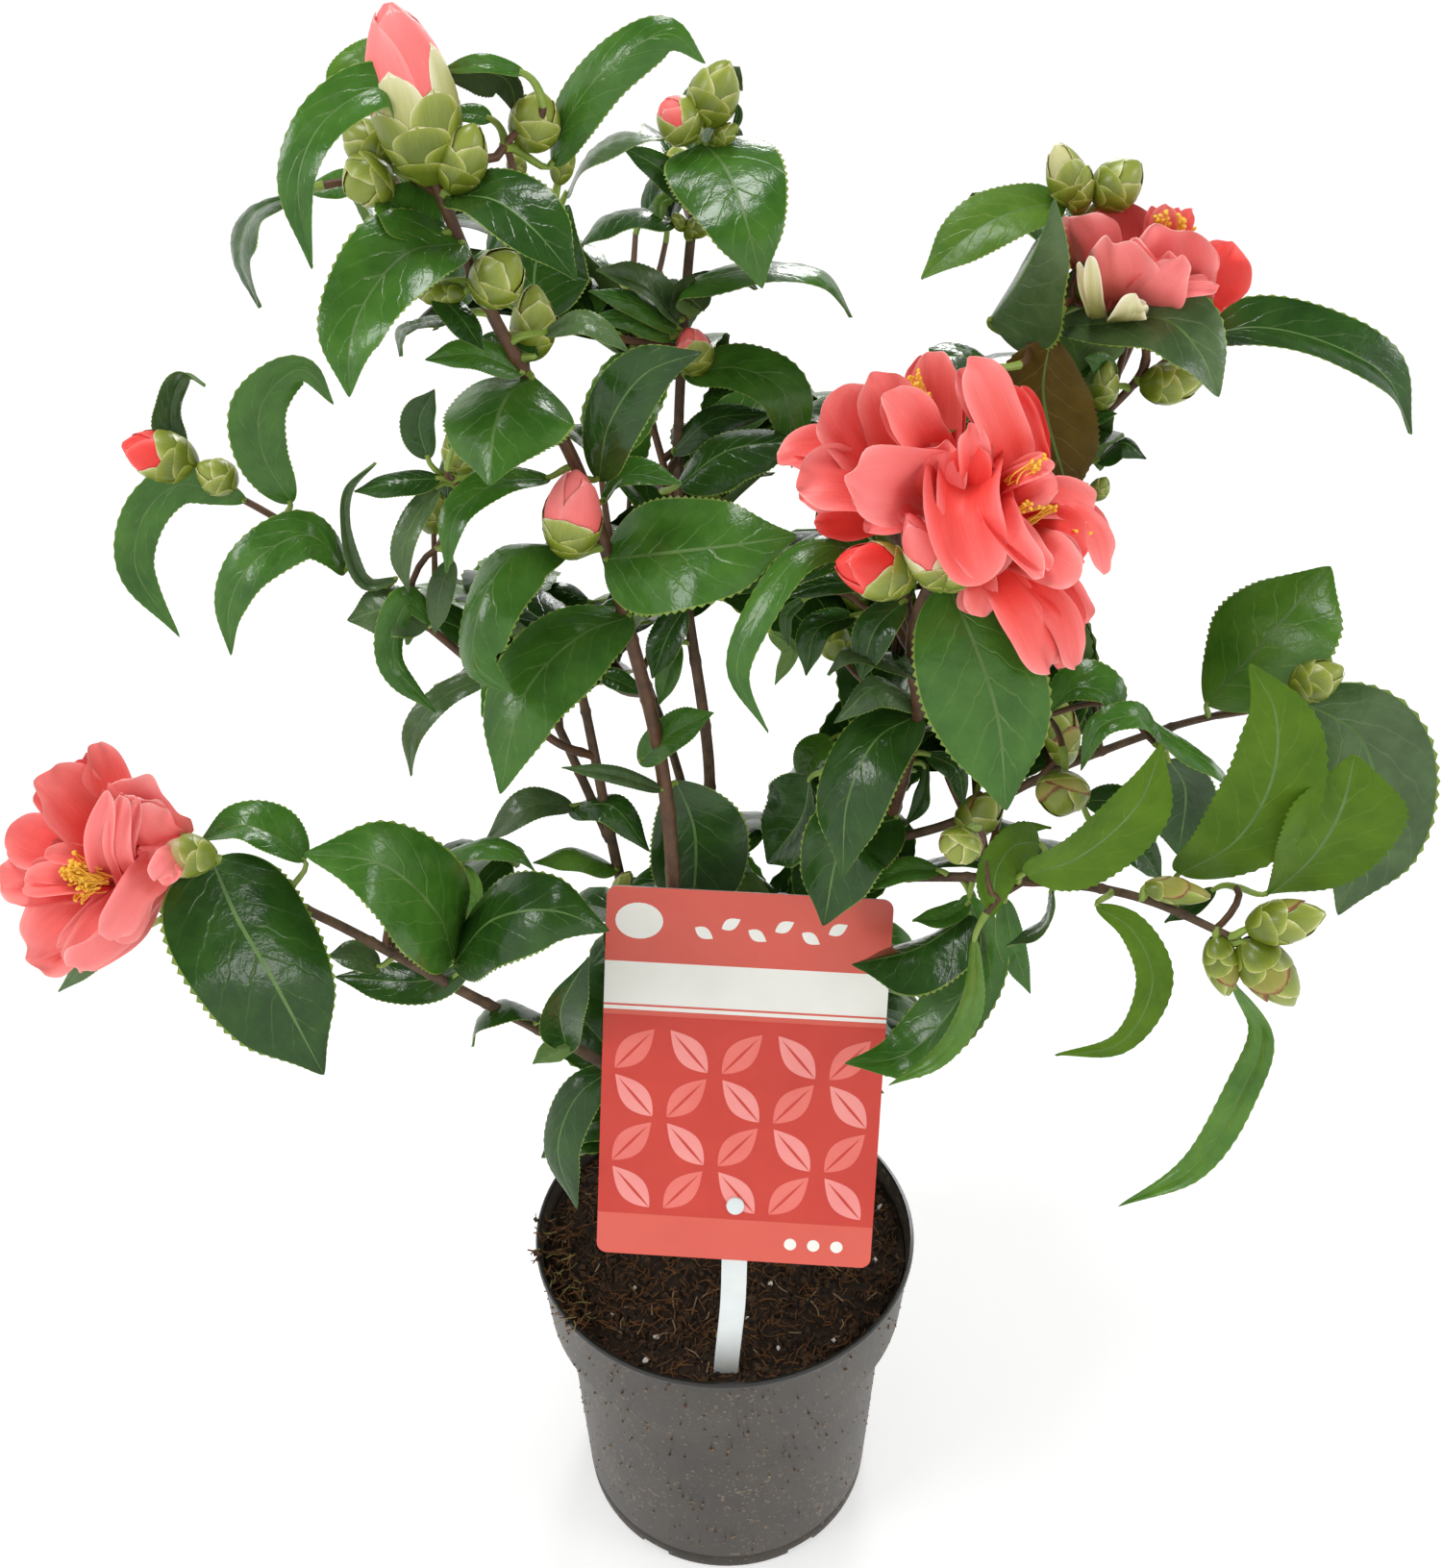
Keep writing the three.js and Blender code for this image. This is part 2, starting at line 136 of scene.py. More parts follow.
veinStyle = {
    "pairs": 8.5,
    "slant": 2.1,  # how many veins the margin is ahead of the midrib
    "width": 0.07,  # a vein's half width, as a share of the way to the next
    "swirl": 0.5,  # how far the veins stray
    "swirlScale": 9,
    "relief": 0.25 * mm,
}


def veined(name, dark, light, vein, strength, **values):
    # A mottled blade with pale side veins that leave the midrib at a slant and stand a little proud.
    material = mottled(name, dark, light, **values)
    tree = material.node_tree
    shader = tree.nodes["Principled BSDF"]
    along, away, places = bladePlaces(tree)
    swirl = addNode(tree, "ShaderNodeTexNoise", {"Scale": veinStyle["swirlScale"], "Detail": 1},
                    {"Vector": places}).outputs["Fac"]
    count = maths(tree, "MULTIPLY_ADD", along, veinStyle["pairs"],
                  maths(tree, "MULTIPLY", away, -veinStyle["slant"]))
    near = maths(tree, "PINGPONG", maths(tree, "MULTIPLY_ADD", swirl, veinStyle["swirl"], count), 0.5)
    line = addNode(tree, "ShaderNodeMapRange",
                   {"From Min": 0.0, "From Max": veinStyle["width"], "To Min": 1.0, "To Max": 0.0},
                   {"Value": near}, interpolation_type="SMOOTHSTEP").outputs["Result"]
    line = maths(tree, "MULTIPLY", line, maths(tree, "SUBTRACT", 1.05, away))
    base = shader.inputs["Base Color"].links[0].from_socket
    mix = addNode(tree, "ShaderNodeMixRGB", {"Color2": linear(vein)},
                  {"Fac": maths(tree, "MULTIPLY", line, strength), "Color1": base})
    tree.links.new(mix.outputs["Color"], shader.inputs["Base Color"])
    relief = addNode(tree, "ShaderNodeBump", {"Strength": 0.5, "Distance": veinStyle["relief"]},
                     {"Height": line, "Normal": shader.inputs["Normal"].links[0].from_socket}, invert=True)
    tree.links.new(relief.outputs["Normal"], shader.inputs["Normal"])
    return material


# The share of a graded blade's ramp that the way along it takes, the share that its margin adds, and how
# often its streaks repeat along and across it.
gradeStyle = {"along": 0.72, "margin": 0.34, "streaks": (2.5, 26, 1)}


def graded(name, stops, streak, **values):
    # A blade whose colour runs from foot to margin through the given stops, with fine lengthwise streaks.
    material = mottled(name, stops[0][1], stops[-1][1], **values)
    tree = material.node_tree
    shader = tree.nodes["Principled BSDF"]
    along, away, places = bladePlaces(tree)
    stretched = addNode(tree, "ShaderNodeMapping", {"Scale": gradeStyle["streaks"]},
                        {"Vector": places}).outputs["Vector"]
    fibres = addNode(tree, "ShaderNodeTexNoise", {"Scale": 1, "Detail": 3, "Roughness": 0.7},
                     {"Vector": stretched}).outputs["Fac"]
    shade = maths(tree, "MULTIPLY_ADD", along, gradeStyle["along"],
                  maths(tree, "MULTIPLY", maths(tree, "POWER", away, 4), gradeStyle["margin"]))
    shade = maths(tree, "ADD", shade, maths(tree, "MULTIPLY_ADD", fibres, streak, -streak / 2))
    ramp = addNode(tree, "ShaderNodeValToRGB", links={"Fac": shade})
    for element, (where, colour) in zip(ramp.color_ramp.elements, (stops[0], stops[-1])):
        element.position, element.color = where, linear(colour)
    for where, colour in stops[1:-1]:
        ramp.color_ramp.elements.new(where).color = linear(colour)
    tree.links.new(ramp.outputs["Color"], shader.inputs["Base Color"])
    return material


# Camellia leaf: thick, waxy and a little uneven, so the gloss breaks up into patches.
leafSkin = {"patch": 14, "grain": 4.5, "depth": 0.4, "IOR": 1.45, "Specular_IOR_Level": 0.44}
underSkin = {**leafSkin, "Specular_IOR_Level": 0.22}


def leafFinishes(skin, looks):  # each look: name, two colours, the veins' colour and strength, and roughness
    return {look: veined(*values[:-1], **skin, Roughness=values[-1]) for look, values in looks.items()}


leafFinish = leafFinishes(leafSkin, {
    "deep": ("waxy_leaf_deep_green", "#1b3a10", "#33591d", "#5e7a3e", 0.4, 0.2),
    "mid": ("waxy_leaf_green", "#2c5816", "#4c7a2a", "#76964a", 0.4, 0.22),
    "fresh": ("waxy_leaf_fresh_green", "#3a6a19", "#5f8a2b", "#88a450", 0.4, 0.25),
    "lime": ("young_leaf_lime_green", "#42681a", "#5f8426", "#84a048", 0.45, 0.36),
    # The silver look is grey-green partly from the leaf's own paler tone and partly from a painted sheen: the
    # reflection of the bright room is put into its colour.
    "silver": ("waxy_leaf_grey_sheen", "#36502a", "#5a7446", "#7c9068", 0.4, 0.25),
})
# Leaf underside: matt and paler, yellow-green where the light comes through it.
underFinish = leafFinishes(underSkin, {
    "pale": ("leaf_underside_pale", "#4c6a30", "#6c8748", "#93a870", 0.5, 0.55),
    "glow": ("leaf_underside_lit", "#42640a", "#5a7c14", "#7e9a3a", 0.3, 0.5),
    "dusk": ("leaf_underside_shaded", "#2c3d1c", "#46592f", "#5d7044", 0.5, 0.55),
    "bronze": ("leaf_underside_bronze", "#46350e", "#605018", "#7a6c38", 0.5, 0.45),
})
# The thin horny margin and the midrib are the palest lines on the leaf.
marginFinish = mottled("leaf_margin", "#5c7a26", "#8a9f3f", patch=6, grain=2, depth=0.05, Roughness=0.5)
midribFinish = mottled("leaf_midrib", "#44662a", "#668843", patch=8, grain=2, depth=0.05, Roughness=0.45)
stalkFinish = mottled("leaf_stalk_green", "#6f8a2c", "#93a94a", patch=8, grain=1.5, depth=0.08,
                      Roughness=0.45)
# Bark: the first-year shoots are smooth and red-brown, older wood is tan and finely fissured.
youngBark = mottled("young_bark_red_brown", "#3f2818", "#6b4729", patch=7, grain=1.2, depth=0.25,
                    Roughness=0.5)
oldBark = mottled("old_bark_tan", "#34261a", "#6c543c", patch=5, grain=1.4, depth=0.5, Roughness=0.75)

leafOrder = list(leafFinish) + list(underFinish)
leafMaterials = [*leafFinish.values(), *underFinish.values(), marginFinish, midribFinish]
marginIndex, midribIndex = len(leafOrder), len(leafOrder) + 1


# Many small pieces are gathered as arrays and then poured into one mesh.
def newHeap(name, materials):
    return {"name": name, "materials": materials, "verts": [], "faces": [], "kinds": [], "maps": [],
            "count": 0}


def heapUp(heap, verts, faces, kinds, places=(0.6, 0.5)):
    heap["verts"].append(np.asarray(verts, float))
    heap["maps"].append(np.broadcast_to(np.asarray(places, float), (len(verts), 2)))
    for rows, kind in zip(faces, kinds):
        rows = np.asarray(rows)
        heap["faces"].append(rows + heap["count"])
        heap["kinds"].append(np.broadcast_to(kind, len(rows)))
    heap["count"] += len(verts)


def pour(heap, nodes=(), crease=50):
    mesh = bpy.data.meshes.new(heap["name"])
    faces = [face for rows in heap["faces"] for face in rows.tolist()]
    mesh.from_pydata(np.concatenate(heap["verts"]).tolist(), [], faces)
    for material in heap["materials"]:
        mesh.materials.append(material)
    mesh.polygons.foreach_set("material_index", np.concatenate(heap["kinds"]).astype(np.int32))
    corners = np.zeros(len(mesh.loops), np.int32)
    mesh.loops.foreach_get("vertex_index", corners)
    mesh.uv_layers.new(name="blade").data.foreach_set("uv", np.concatenate(heap["maps"])[corners].ravel())
    mesh.validate()
    piece = bpy.data.objects.new(heap["name"], mesh)
    bpy.context.collection.objects.link(piece)
    return place(piece, nodes, crease)


def alone(piece):  # selects one piece and nothing else
    bpy.ops.object.select_all(action="DESELECT")
    piece.select_set(True)
    bpy.context.view_layer.objects.active = piece


def place(piece, nodes=(), crease=50):
    alone(piece)
    bpy.ops.object.shade_smooth_by_angle(angle=math.radians(crease))
    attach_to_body(piece, "root")
    if nodes:
        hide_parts(*nodes)
    return piece


def unit(v):
    v = np.asarray(v, float)
    return v / np.maximum(np.linalg.norm(v, axis=-1, keepdims=True), 1e-9)


def smoothPath(points, count):  # an even run of points on a centripetal curve through the given ones
    given = np.asarray(points, float)
    ends = np.vstack([2 * given[0] - given[1], given, 2 * given[-1] - given[-2]])
    run = []
    share = np.linspace(0, 1, 24, endpoint=False)[:, None]
    for a, b, c, d in zip(ends, ends[1:], ends[2:], ends[3:]):
        ta, tb, tc = (math.sqrt(np.linalg.norm(q - p)) + 1e-9 for p, q in ((a, b), (b, c), (c, d)))
        inward = ((b - a) / ta - (c - a) / (ta + tb) + (c - b) / tb) * tb
        onward = ((c - b) / tb - (d - b) / (tb + tc) + (d - c) / tc) * tb
        t = share
        run.append((2 * t**3 - 3 * t**2 + 1) * b + (t**3 - 2 * t**2 + t) * inward
                   + (3 * t**2 - 2 * t**3) * c + (t**3 - t**2) * onward)
    run = np.vstack(run + [given[-1:]])
    length = np.concatenate([[0], np.cumsum(np.linalg.norm(np.diff(run, axis=0), axis=1))])
    where = np.linspace(0, length[-1], count) if np.isscalar(count) else np.asarray(count) * length[-1]
    return np.stack([np.interp(where, length, run[:, k]) for k in range(3)], -1)


def headings(path):
    return unit(np.gradient(path, axis=0))


def carried(way, start, at):  # a side direction carried along a path without twisting
    side = np.zeros_like(way)
    side[at] = unit(start - way[at] * (start @ way[at]))
    for i in range(at + 1, len(way)):
        side[i] = unit(side[i - 1] - way[i] * (side[i - 1] @ way[i]))
    for i in range(at - 1, -1, -1):
        side[i] = unit(side[i + 1] - way[i] * (side[i + 1] @ way[i]))
    return side


def tube(heap, path, radii, kind, sides=8, relief=None):
    path = np.asarray(path, float)
    way = headings(path)
    first = np.cross(way[0], [0.3, 0.5, 0.8])
    side = carried(way, first, 0)
    other = np.cross(way, side)
    turn = np.linspace(0, 2 * math.pi, sides, endpoint=False)
    reach = np.broadcast_to(np.asarray(radii, float)[:, None], (len(path), sides)).copy()
    if relief is not None:
        reach += relief
    ring = side[:, None] * np.cos(turn)[None, :, None] + other[:, None] * np.sin(turn)[None, :, None]
    verts = (path[:, None] + ring * reach[:, :, None]).reshape(-1, 3)
    base = np.arange(len(path) - 1)[:, None] * sides
    a, b = base + np.arange(sides), base + (np.arange(sides) + 1) % sides
    walls = np.stack([a, b, b + sides, a + sides], -1).reshape(-1, 4)
    top = (len(path) - 1) * sides + np.arange(sides)
    heapUp(heap, verts, [walls, np.arange(sides)[::-1][None], top[None]], [kind, kind, kind])


# One thin closed blade, for leaves and petals alike: a midrib, and a half blade on each side of it.
leafColumns = np.array([-1, -0.965, -0.65, -0.32, -0.028, 0.028, 0.32, 0.65, 0.965, 1])
petalColumns = np.array([-1, -0.93, -0.8, -0.64, -0.44, -0.22, 0, 0.22, 0.44, 0.64, 0.8, 0.93, 1])


def bladeFaces(rows, columns):
    top = np.arange(rows * columns).reshape(rows, columns)
    under = top.copy()
    under[1:-1, 1:-1] = rows * columns + np.arange((rows - 2) * (columns - 2)).reshape(rows - 2, columns - 2)
    quads = [np.stack([g[:-1, :-1], g[:-1, 1:], g[1:, 1:], g[1:, :-1]], -1).reshape(-1, 4)
             for g in (top, under)]
    return quads[0], quads[1][:, ::-1]


def bladeMap(rows, columns):
    along, over = np.meshgrid(np.linspace(0, 1, rows), (np.asarray(columns) + 1) / 2, indexing="ij")
    grid = np.stack([along, over], -1)
    return np.concatenate([grid.reshape(-1, 2), grid[1:-1, 1:-1].reshape(-1, 2)])


def blade(heap, path, left, right, at, columns, halfWidth, faceKinds, lift, thick, rib=0):
    # path is the midrib's points, left and right are the directions of the two halves at path[at], halfWidth
    # and lift are arrays by row and column, and faceKinds is the material of a row's top and bottom cells.
    rows, across = len(path), len(columns)
    way = headings(path)
    normalAt = unit(np.cross(right, way[at]) + np.cross(way[at], left))
    normal = carried(way, normalAt, at)
    side = np.cross(way, normal)
    sideAt = np.cross(way[at], normal[at])
    wide = np.abs(columns)[None, :] * halfWidth
    sign = np.where(columns < 0, 0, 1)
    verts = np.zeros((rows, across, 3))
    for half, direction in ((0, left), (1, right)):
        out, up = direction @ sideAt, direction @ normal[at]
        mask = sign == half
        verts[:, mask] = (side * out + normal * up)[:, None] * wide[:, mask, None]
    verts += path[:, None] + normal[:, None] * lift[:, :, None]
    depth = thick * (1 - columns**2 * 0.6) + rib * np.exp(-(columns / 0.05) ** 2)
    below = verts - normal[:, None] * depth[None, :, None]
    points = np.concatenate([verts.reshape(-1, 3), below[1:-1, 1:-1].reshape(-1, 3)])
    topFaces, underFaces = bladeFaces(rows, across)
    kinds = [np.broadcast_to(k, (rows - 1, across - 1)).ravel() for k in faceKinds]
    heapUp(heap, points, [topFaces, underFaces], kinds, bladeMap(rows, columns))


leafStyle = {
    "rows": 64,
    "thickness": 0.5 * mm,
    "rib": 0.5 * mm,  # how far the midrib stands out of the underside
    "tooth": 0.028,  # how far a tooth of the margin stands out, as a share of the half width
    "toothed": (0.12, 0.96),  # the stretch of the margin that has teeth
    "quilt": 0.45 * mm,  # how far the blade swells between its side veins
    "veins": 8,
    "slant": 1.3,  # how many veins the margin is ahead of the midrib
    "waves": 1.6,  # waves of the margin from foot to tip
    "outOfStep": 1.7,  # between the waves of the two halves
    "groove": 0.25 * mm,  # how deep the midrib lies in the face
    "round": 0.72,  # power of the outline's end: less is blunter
    "tip": (0.72, 0.28, 0.42),  # where the drawn-out tip starts, its length, and how much narrower it is
}


def leafRows(rows):
    s = np.linspace(0, 1, rows)
    return 0.45 * s + 0.55 * (0.5 - 0.5 * np.cos(math.pi * s))


def leafOutline(u, widest):
    b = leafStyle["round"]
    a = b * widest / (1 - widest)
    shape = np.clip(u, 1e-6, 1) ** a * np.clip(1 - u, 0, 1) ** b
    peak = widest**a * (1 - widest) ** b
    tipFrom, tipLength, narrower = leafStyle["tip"]
    late = np.clip((u - tipFrom) / tipLength, 0, 1)
    return np.maximum(shape / peak * (1 - narrower * late * late * (3 - 2 * late)), 0.008)


def leaf(heap, path, left, right, at, halfWide, widest=0.42, look="mid", under="pale", cup=-0.1, wave=0.075,
         rows=leafStyle["rows"]):
    columns = leafColumns
    u = leafRows(rows)
    path = smoothPath(path, u)
    toothedFrom, toothedTo = leafStyle["toothed"]
    teeth = 1 + leafStyle["tooth"] * (-1.0) ** np.arange(rows) * ((u > toothedFrom) & (u < toothedTo))
    width = (leafOutline(u, widest) * halfWide)[:, None] * np.where(np.abs(columns) > 0.99, teeth[:, None], 1)
    v = np.abs(columns)[None, :]
    phase = dice.uniform(0, 6.28)
    step = phase + leafStyle["outOfStep"] * np.sign(columns)
    lift = width * v**2 * (cup + wave * np.sin(2 * math.pi * leafStyle["waves"] * u[:, None] + step))
    swell = np.abs(np.sin(math.pi * (leafStyle["veins"] * u[:, None] - leafStyle["slant"] * v)))
    lift += leafStyle["quilt"] * swell * 4 * v * (1 - v) * np.sin(math.pi * u[:, None])
    lift += np.where(v < 0.1, -leafStyle["groove"], 0)
    cells = len(columns) - 1
    top = np.full(cells, leafOrder.index(look))
    bottom = np.full(cells, leafOrder.index(under))
    top[[0, -1]] = marginIndex
    top[cells // 2] = midribIndex
    bottom[cells // 2] = midribIndex
    blade(heap, path, left, right, int(at * (rows - 1)), columns, width, [top, bottom], lift,
          leafStyle["thickness"], leafStyle["rib"])
    return path


def pathInView(line, out, depth):
    # Points seen at the places in line, from a foot at y = depth. out is how much nearer, in mm, the middle
    # and the tip come.
    places = np.array(line, float)
    run = np.concatenate([[0], np.cumsum(np.linalg.norm(np.diff(places, axis=0), axis=1))])
    t = run / run[-1]
    nearer = (4 * out[0] - out[1]) * t + (2 * out[1] - 4 * out[0]) * t * t
    return np.array([inView(x, y, depth - n * mm) for (x, y), n in zip(places, nearer)])


def halvesInView(path, at, sides, wide, turned):
    # Directions and half width of a blade that shows sides = (left, right) pixels to each side of its midrib.
    fine = smoothPath(path, 60)
    way = headings(fine)
    i = int(at * 59)
    toEye = unit(eyeAt - fine[i])
    facing = unit(toEye - way[i] * (toEye @ way[i]))
    across = np.cross(way[i], facing)
    perMetre = seenAt(fine[i])[1][0]
    shown = np.array(sides, float) / perMetre
    half = wide * mm / 2 if wide else np.abs(shown).max() * 1.06
    halves = []
    for sign, reach in ((-1, shown[0]), (1, shown[1])):
        share = np.clip(reach / half, -1, 1)
        climb = sign * (across @ viewUp)
        lean = math.sqrt(1 - share * share) * np.clip(-2.5 * climb + 0.25, -1, 1)
        halves.append(sign * share * across + lean * (-1 if turned else 1) * facing)
    if turned:  # the far side is the leaf's face, so its own left is on the right
        halves.reverse()
    return halves[0], halves[1], half


# The limbs' centre lines: radii at foot and tip and the points they run through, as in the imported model.
limbs = {
    "trunk": {"radii": (9, 8), "flare": 4, "lean": 0.95, "path": [
        (-1, 0, 134), (-5, -1, 172), (-10, -2, 206)]},
    "left_leader": {"radii": (4.2, 2), "path": [
        (-12, -6, 200), (-17, -9, 290), (-20, -10, 384), (-29, -25, 449), (-42, -35, 508), (-62, -50, 558),
        (-73, -57, 594)]},
    "right_leader": {"radii": (3.4, 1.8), "path": [
        (-9, 2, 200), (-7, 13, 300), (-4, 15, 376), (-12, 22, 451), (-13, 25, 496), (-9, 25, 550),
        (-4, 24, 590)]},
    "left_stem": {"radii": (3.4, 2), "path": [
        (-15, 0, 200), (-30, 8, 270), (-41, 12, 336), (-47, 13, 383), (-50, 14, 405), (-54, 12, 432)]},
    "right_stem": {"radii": (4, 2.8), "path": [
        (-5, -4, 196), (12, -2, 262), (38, -6, 318), (60, -14, 354)]},
    "low_left_bough": {"radii": (3, 1.8), "path": [
        (-14, -3, 205), (-48, -25, 266), (-89, -42, 311), (-134, -55, 356), (-156, -58, 372),
        (-184, -66, 391)]},
    "left_bough": {"radii": (2, 1.4), "path": [
        (-47, 13, 383), (-61, 4, 395), (-87, 0, 428), (-129, 0, 468), (-158, 0, 489), (-180, 0, 500)]},
    "centre_bloom_bough": {"radii": (2.6, 2), "path": [
        (58, -13, 350), (66, -20, 394), (67, -30, 420), (61, -46, 458), (66, -58, 486)]},
    "centre_left_bloom_stalk": {"radii": (1.8, 1.6), "path": [
        (62, -44, 454), (56, -47, 482), (50, -49, 504)]},
    "right_bough": {"radii": (2.2, 1.6), "path": [
        (62, -15, 362), (84, -18, 371), (121, -15, 391), (161, -10, 405), (186, -7, 410)]},
    "low_right_bough": {"radii": (2.4, 1.6), "path": [
        (54, -12, 344), (88, -42, 363), (107, -60, 373), (125, -74, 379), (139, -82, 379),
        (164, -92, 371)]},
    "top_right_bough": {"radii": (2, 1.6), "path": [
        (67, -28, 416), (82, -14, 455), (93, -8, 488), (126, 0, 514), (136, -2, 530), (128, -8, 550)]},
    "upper_right_twig": {"radii": (1.5, 1.2), "path": [(132, -1, 522), (150, -1, 535), (168, -2, 538)]},
    "back_left_bough": {"radii": (2.4, 1.6), "path": [
        (-43, 12, 346), (-62, 32, 385), (-84, 58, 420), (-90, 68, 436)]},
    "back_middle_bough": {"radii": (2.6, 1.6), "path": [
        (-6, 14, 325), (-18, 50, 360), (-38, 93, 400), (-45, 108, 420)]},
    "back_right_bough": {"radii": (2.6, 1.6), "path": [
        (28, -4, 298), (52, 30, 345), (76, 82, 400), (85, 106, 432)]},
    "low_back_bough": {"radii": (2.6, 1.8), "path": [(-7, 0, 188), (4, 28, 222), (14, 55, 262)]},
    "crown_back_bough": {"radii": (1.7, 1.4), "path": [(-13, 23, 470), (-22, 40, 500), (-34, 60, 536)]},
}
barkStyle = {
    "step": 1.6 * mm,
    "sides": 16,
    "fissure": 0.07,  # depth of the long fissures of old wood, as a share of the radius
    "nodeEvery": 26 * mm,  # from one ring scar to the next
    "scar": 0.35 * mm,
    "scarWidth": 0.045,  # as a share of the way from scar to scar
    "lean": 0.82,  # the real stems are a little thinner than their solids
    "youngAbove": 0.40,  # wood higher than this is last year's and red-brown
    "ripens": 0.12,  # the height over which the fissures fade out
}


def growLimbs():
    heap = newHeap("stems_and_boughs", [oldBark, youngBark])
    bones = []
    for limb in limbs.values():
        given = np.array(limb["path"]) * mm
        rough = smoothPath(given, 80)
        length = np.linalg.norm(np.diff(rough, axis=0), axis=1).sum()
        rows = max(12, int(length / barkStyle["step"]))
        path = smoothPath(given, rows)
        t = np.linspace(0, 1, rows)
        radii = (limb["radii"][0] + (limb["radii"][1] - limb["radii"][0]) * t
                 + limb.get("flare", 0) * (1 - t) ** 6) * limb.get("lean", barkStyle["lean"]) * mm
        along = (t * length)[:, None]
        around = np.linspace(0, 2 * math.pi, barkStyle["sides"], endpoint=False)[None]
        old = np.clip((barkStyle["youngAbove"] - path[:, 2:3]) / barkStyle["ripens"], 0.12, 1)
        p = dice.uniform(0, 6.28, 4)
        relief = np.sin(3 * around + 90 * along + p[0]) + 0.7 * np.sin(7 * around - 160 * along + p[1])
        relief = relief + 0.6 * np.sin(5 * around + 420 * along + p[2]) * np.sin(240 * along + p[3])
        scars = np.exp(-(((along / barkStyle["nodeEvery"] + p[0]) % 1 - 0.5) / barkStyle["scarWidth"]) ** 2)
        relief = relief * barkStyle["fissure"] * old * radii[:, None] + scars * barkStyle["scar"]
        tube(heap, path, radii, int(path[:, 2].mean() > barkStyle["youngAbove"]), barkStyle["sides"], relief)
        way = headings(path)
        bones += [(path[i], way[i], radii[i]) for i in range(0, rows, 3)]
    pour(heap, list(limbs), crease=60)
    print("limbs grown")
    return {key: np.array([bone[k] for bone in bones]) for k, key in enumerate(("at", "way", "radius"))}


skeleton = growLimbs()
twigHeap = newHeap("twigs_and_stalks", [youngBark, stalkFinish])
twigStyle = {
    "radius": 1.35 * mm,
    "stalk": 1.05 * mm,
    "longestStalk": 17 * mm,  # wood further off than this is reached by a twig
    "lead": 9,  # mm of stalk left beyond the twig
    "step": 0.004,
    "above": 0.35,  # how much further off wood counts for each mm that it is higher than the foot
}


def bend(start, startWay, end, endWay, count, pull=0.4):
    reach = np.linalg.norm(end - start) * pull
    t = np.linspace(0, 1, count)[:, None]
    a, b = start + startWay * reach, end - endWay * reach
    return (1 - t) ** 3 * start + 3 * (1 - t) ** 2 * t * a + 3 * (1 - t) * t**2 * b + t**3 * end


def attach(foot, way, stalkRadius=twigStyle["stalk"]):
    # Joins a leaf's or bud's foot to the nearest wood, with a twig first where the wood is far.
    off = foot - skeleton["at"]
    far = np.linalg.norm(off, axis=1) + twigStyle["above"] * np.maximum(-off[:, 2], 0)
    i = int(np.argmin(far))
    wood, woodWay, woodRadius = (skeleton[k][i] for k in ("at", "way", "radius"))
    gap = np.linalg.norm(foot - wood)
    towards = unit(foot - wood)
    if gap > twigStyle["longestStalk"]:
        joint = foot - unit(way + towards) * twigStyle["lead"] * mm
        rows = max(6, int(gap / twigStyle["step"]))
        twig = bend(wood, unit(woodWay * 0.6 + towards), joint, unit(towards + 0.5 * way), rows)
        thick, thin = min(woodRadius * 0.85, twigStyle["radius"] * 1.15), twigStyle["radius"] * 0.85
        radii = np.linspace(thick, thin, len(twig))
        tube(twigHeap, twig, radii, 0, 8)
        twigWay = headings(twig)
        skeleton["at"] = np.vstack([skeleton["at"], twig[1:]])
        skeleton["way"] = np.vstack([skeleton["way"], twigWay[1:]])
        skeleton["radius"] = np.concatenate([skeleton["radius"], radii[1:]])
        wood, woodWay = twig[-1], twigWay[-1]
    start = wood - 0.3 * mm * unit(foot - wood)
    stalk = bend(start, unit(unit(foot - wood) + 0.7 * woodWay), foot + way * 1.5 * mm, way, 7)
    tube(twigHeap, stalk, np.linspace(stalkRadius * 1.25, stalkRadius * 0.8, len(stalk)), 1, 7)


def depthAt(spot, fallback, within=45):
    # The depth of the wood that is seen nearest to a spot in the view.
    seen, _ = seenAt(skeleton["at"])
    gap = np.linalg.norm(seen - np.array(spot), axis=1)
    i = int(np.argmin(gap))
    return skeleton["at"][i][1] - 2 * mm if gap[i] < within else fallback * mm


# The leaves that face the viewer, shoot by shoot. line runs from foot to tip as seen, sides are the half
# widths to the left and right of that way, and out is how many mm nearer the middle and the tip are than the
# foot. turned names the finish of an underside that shows, and at is where along the leaf it faces the eye.
def leafAt(line, sides, out=(8, 14), look="mid", **more):
    return {"line": line, "sides": sides, "out": out, "look": look, **more}


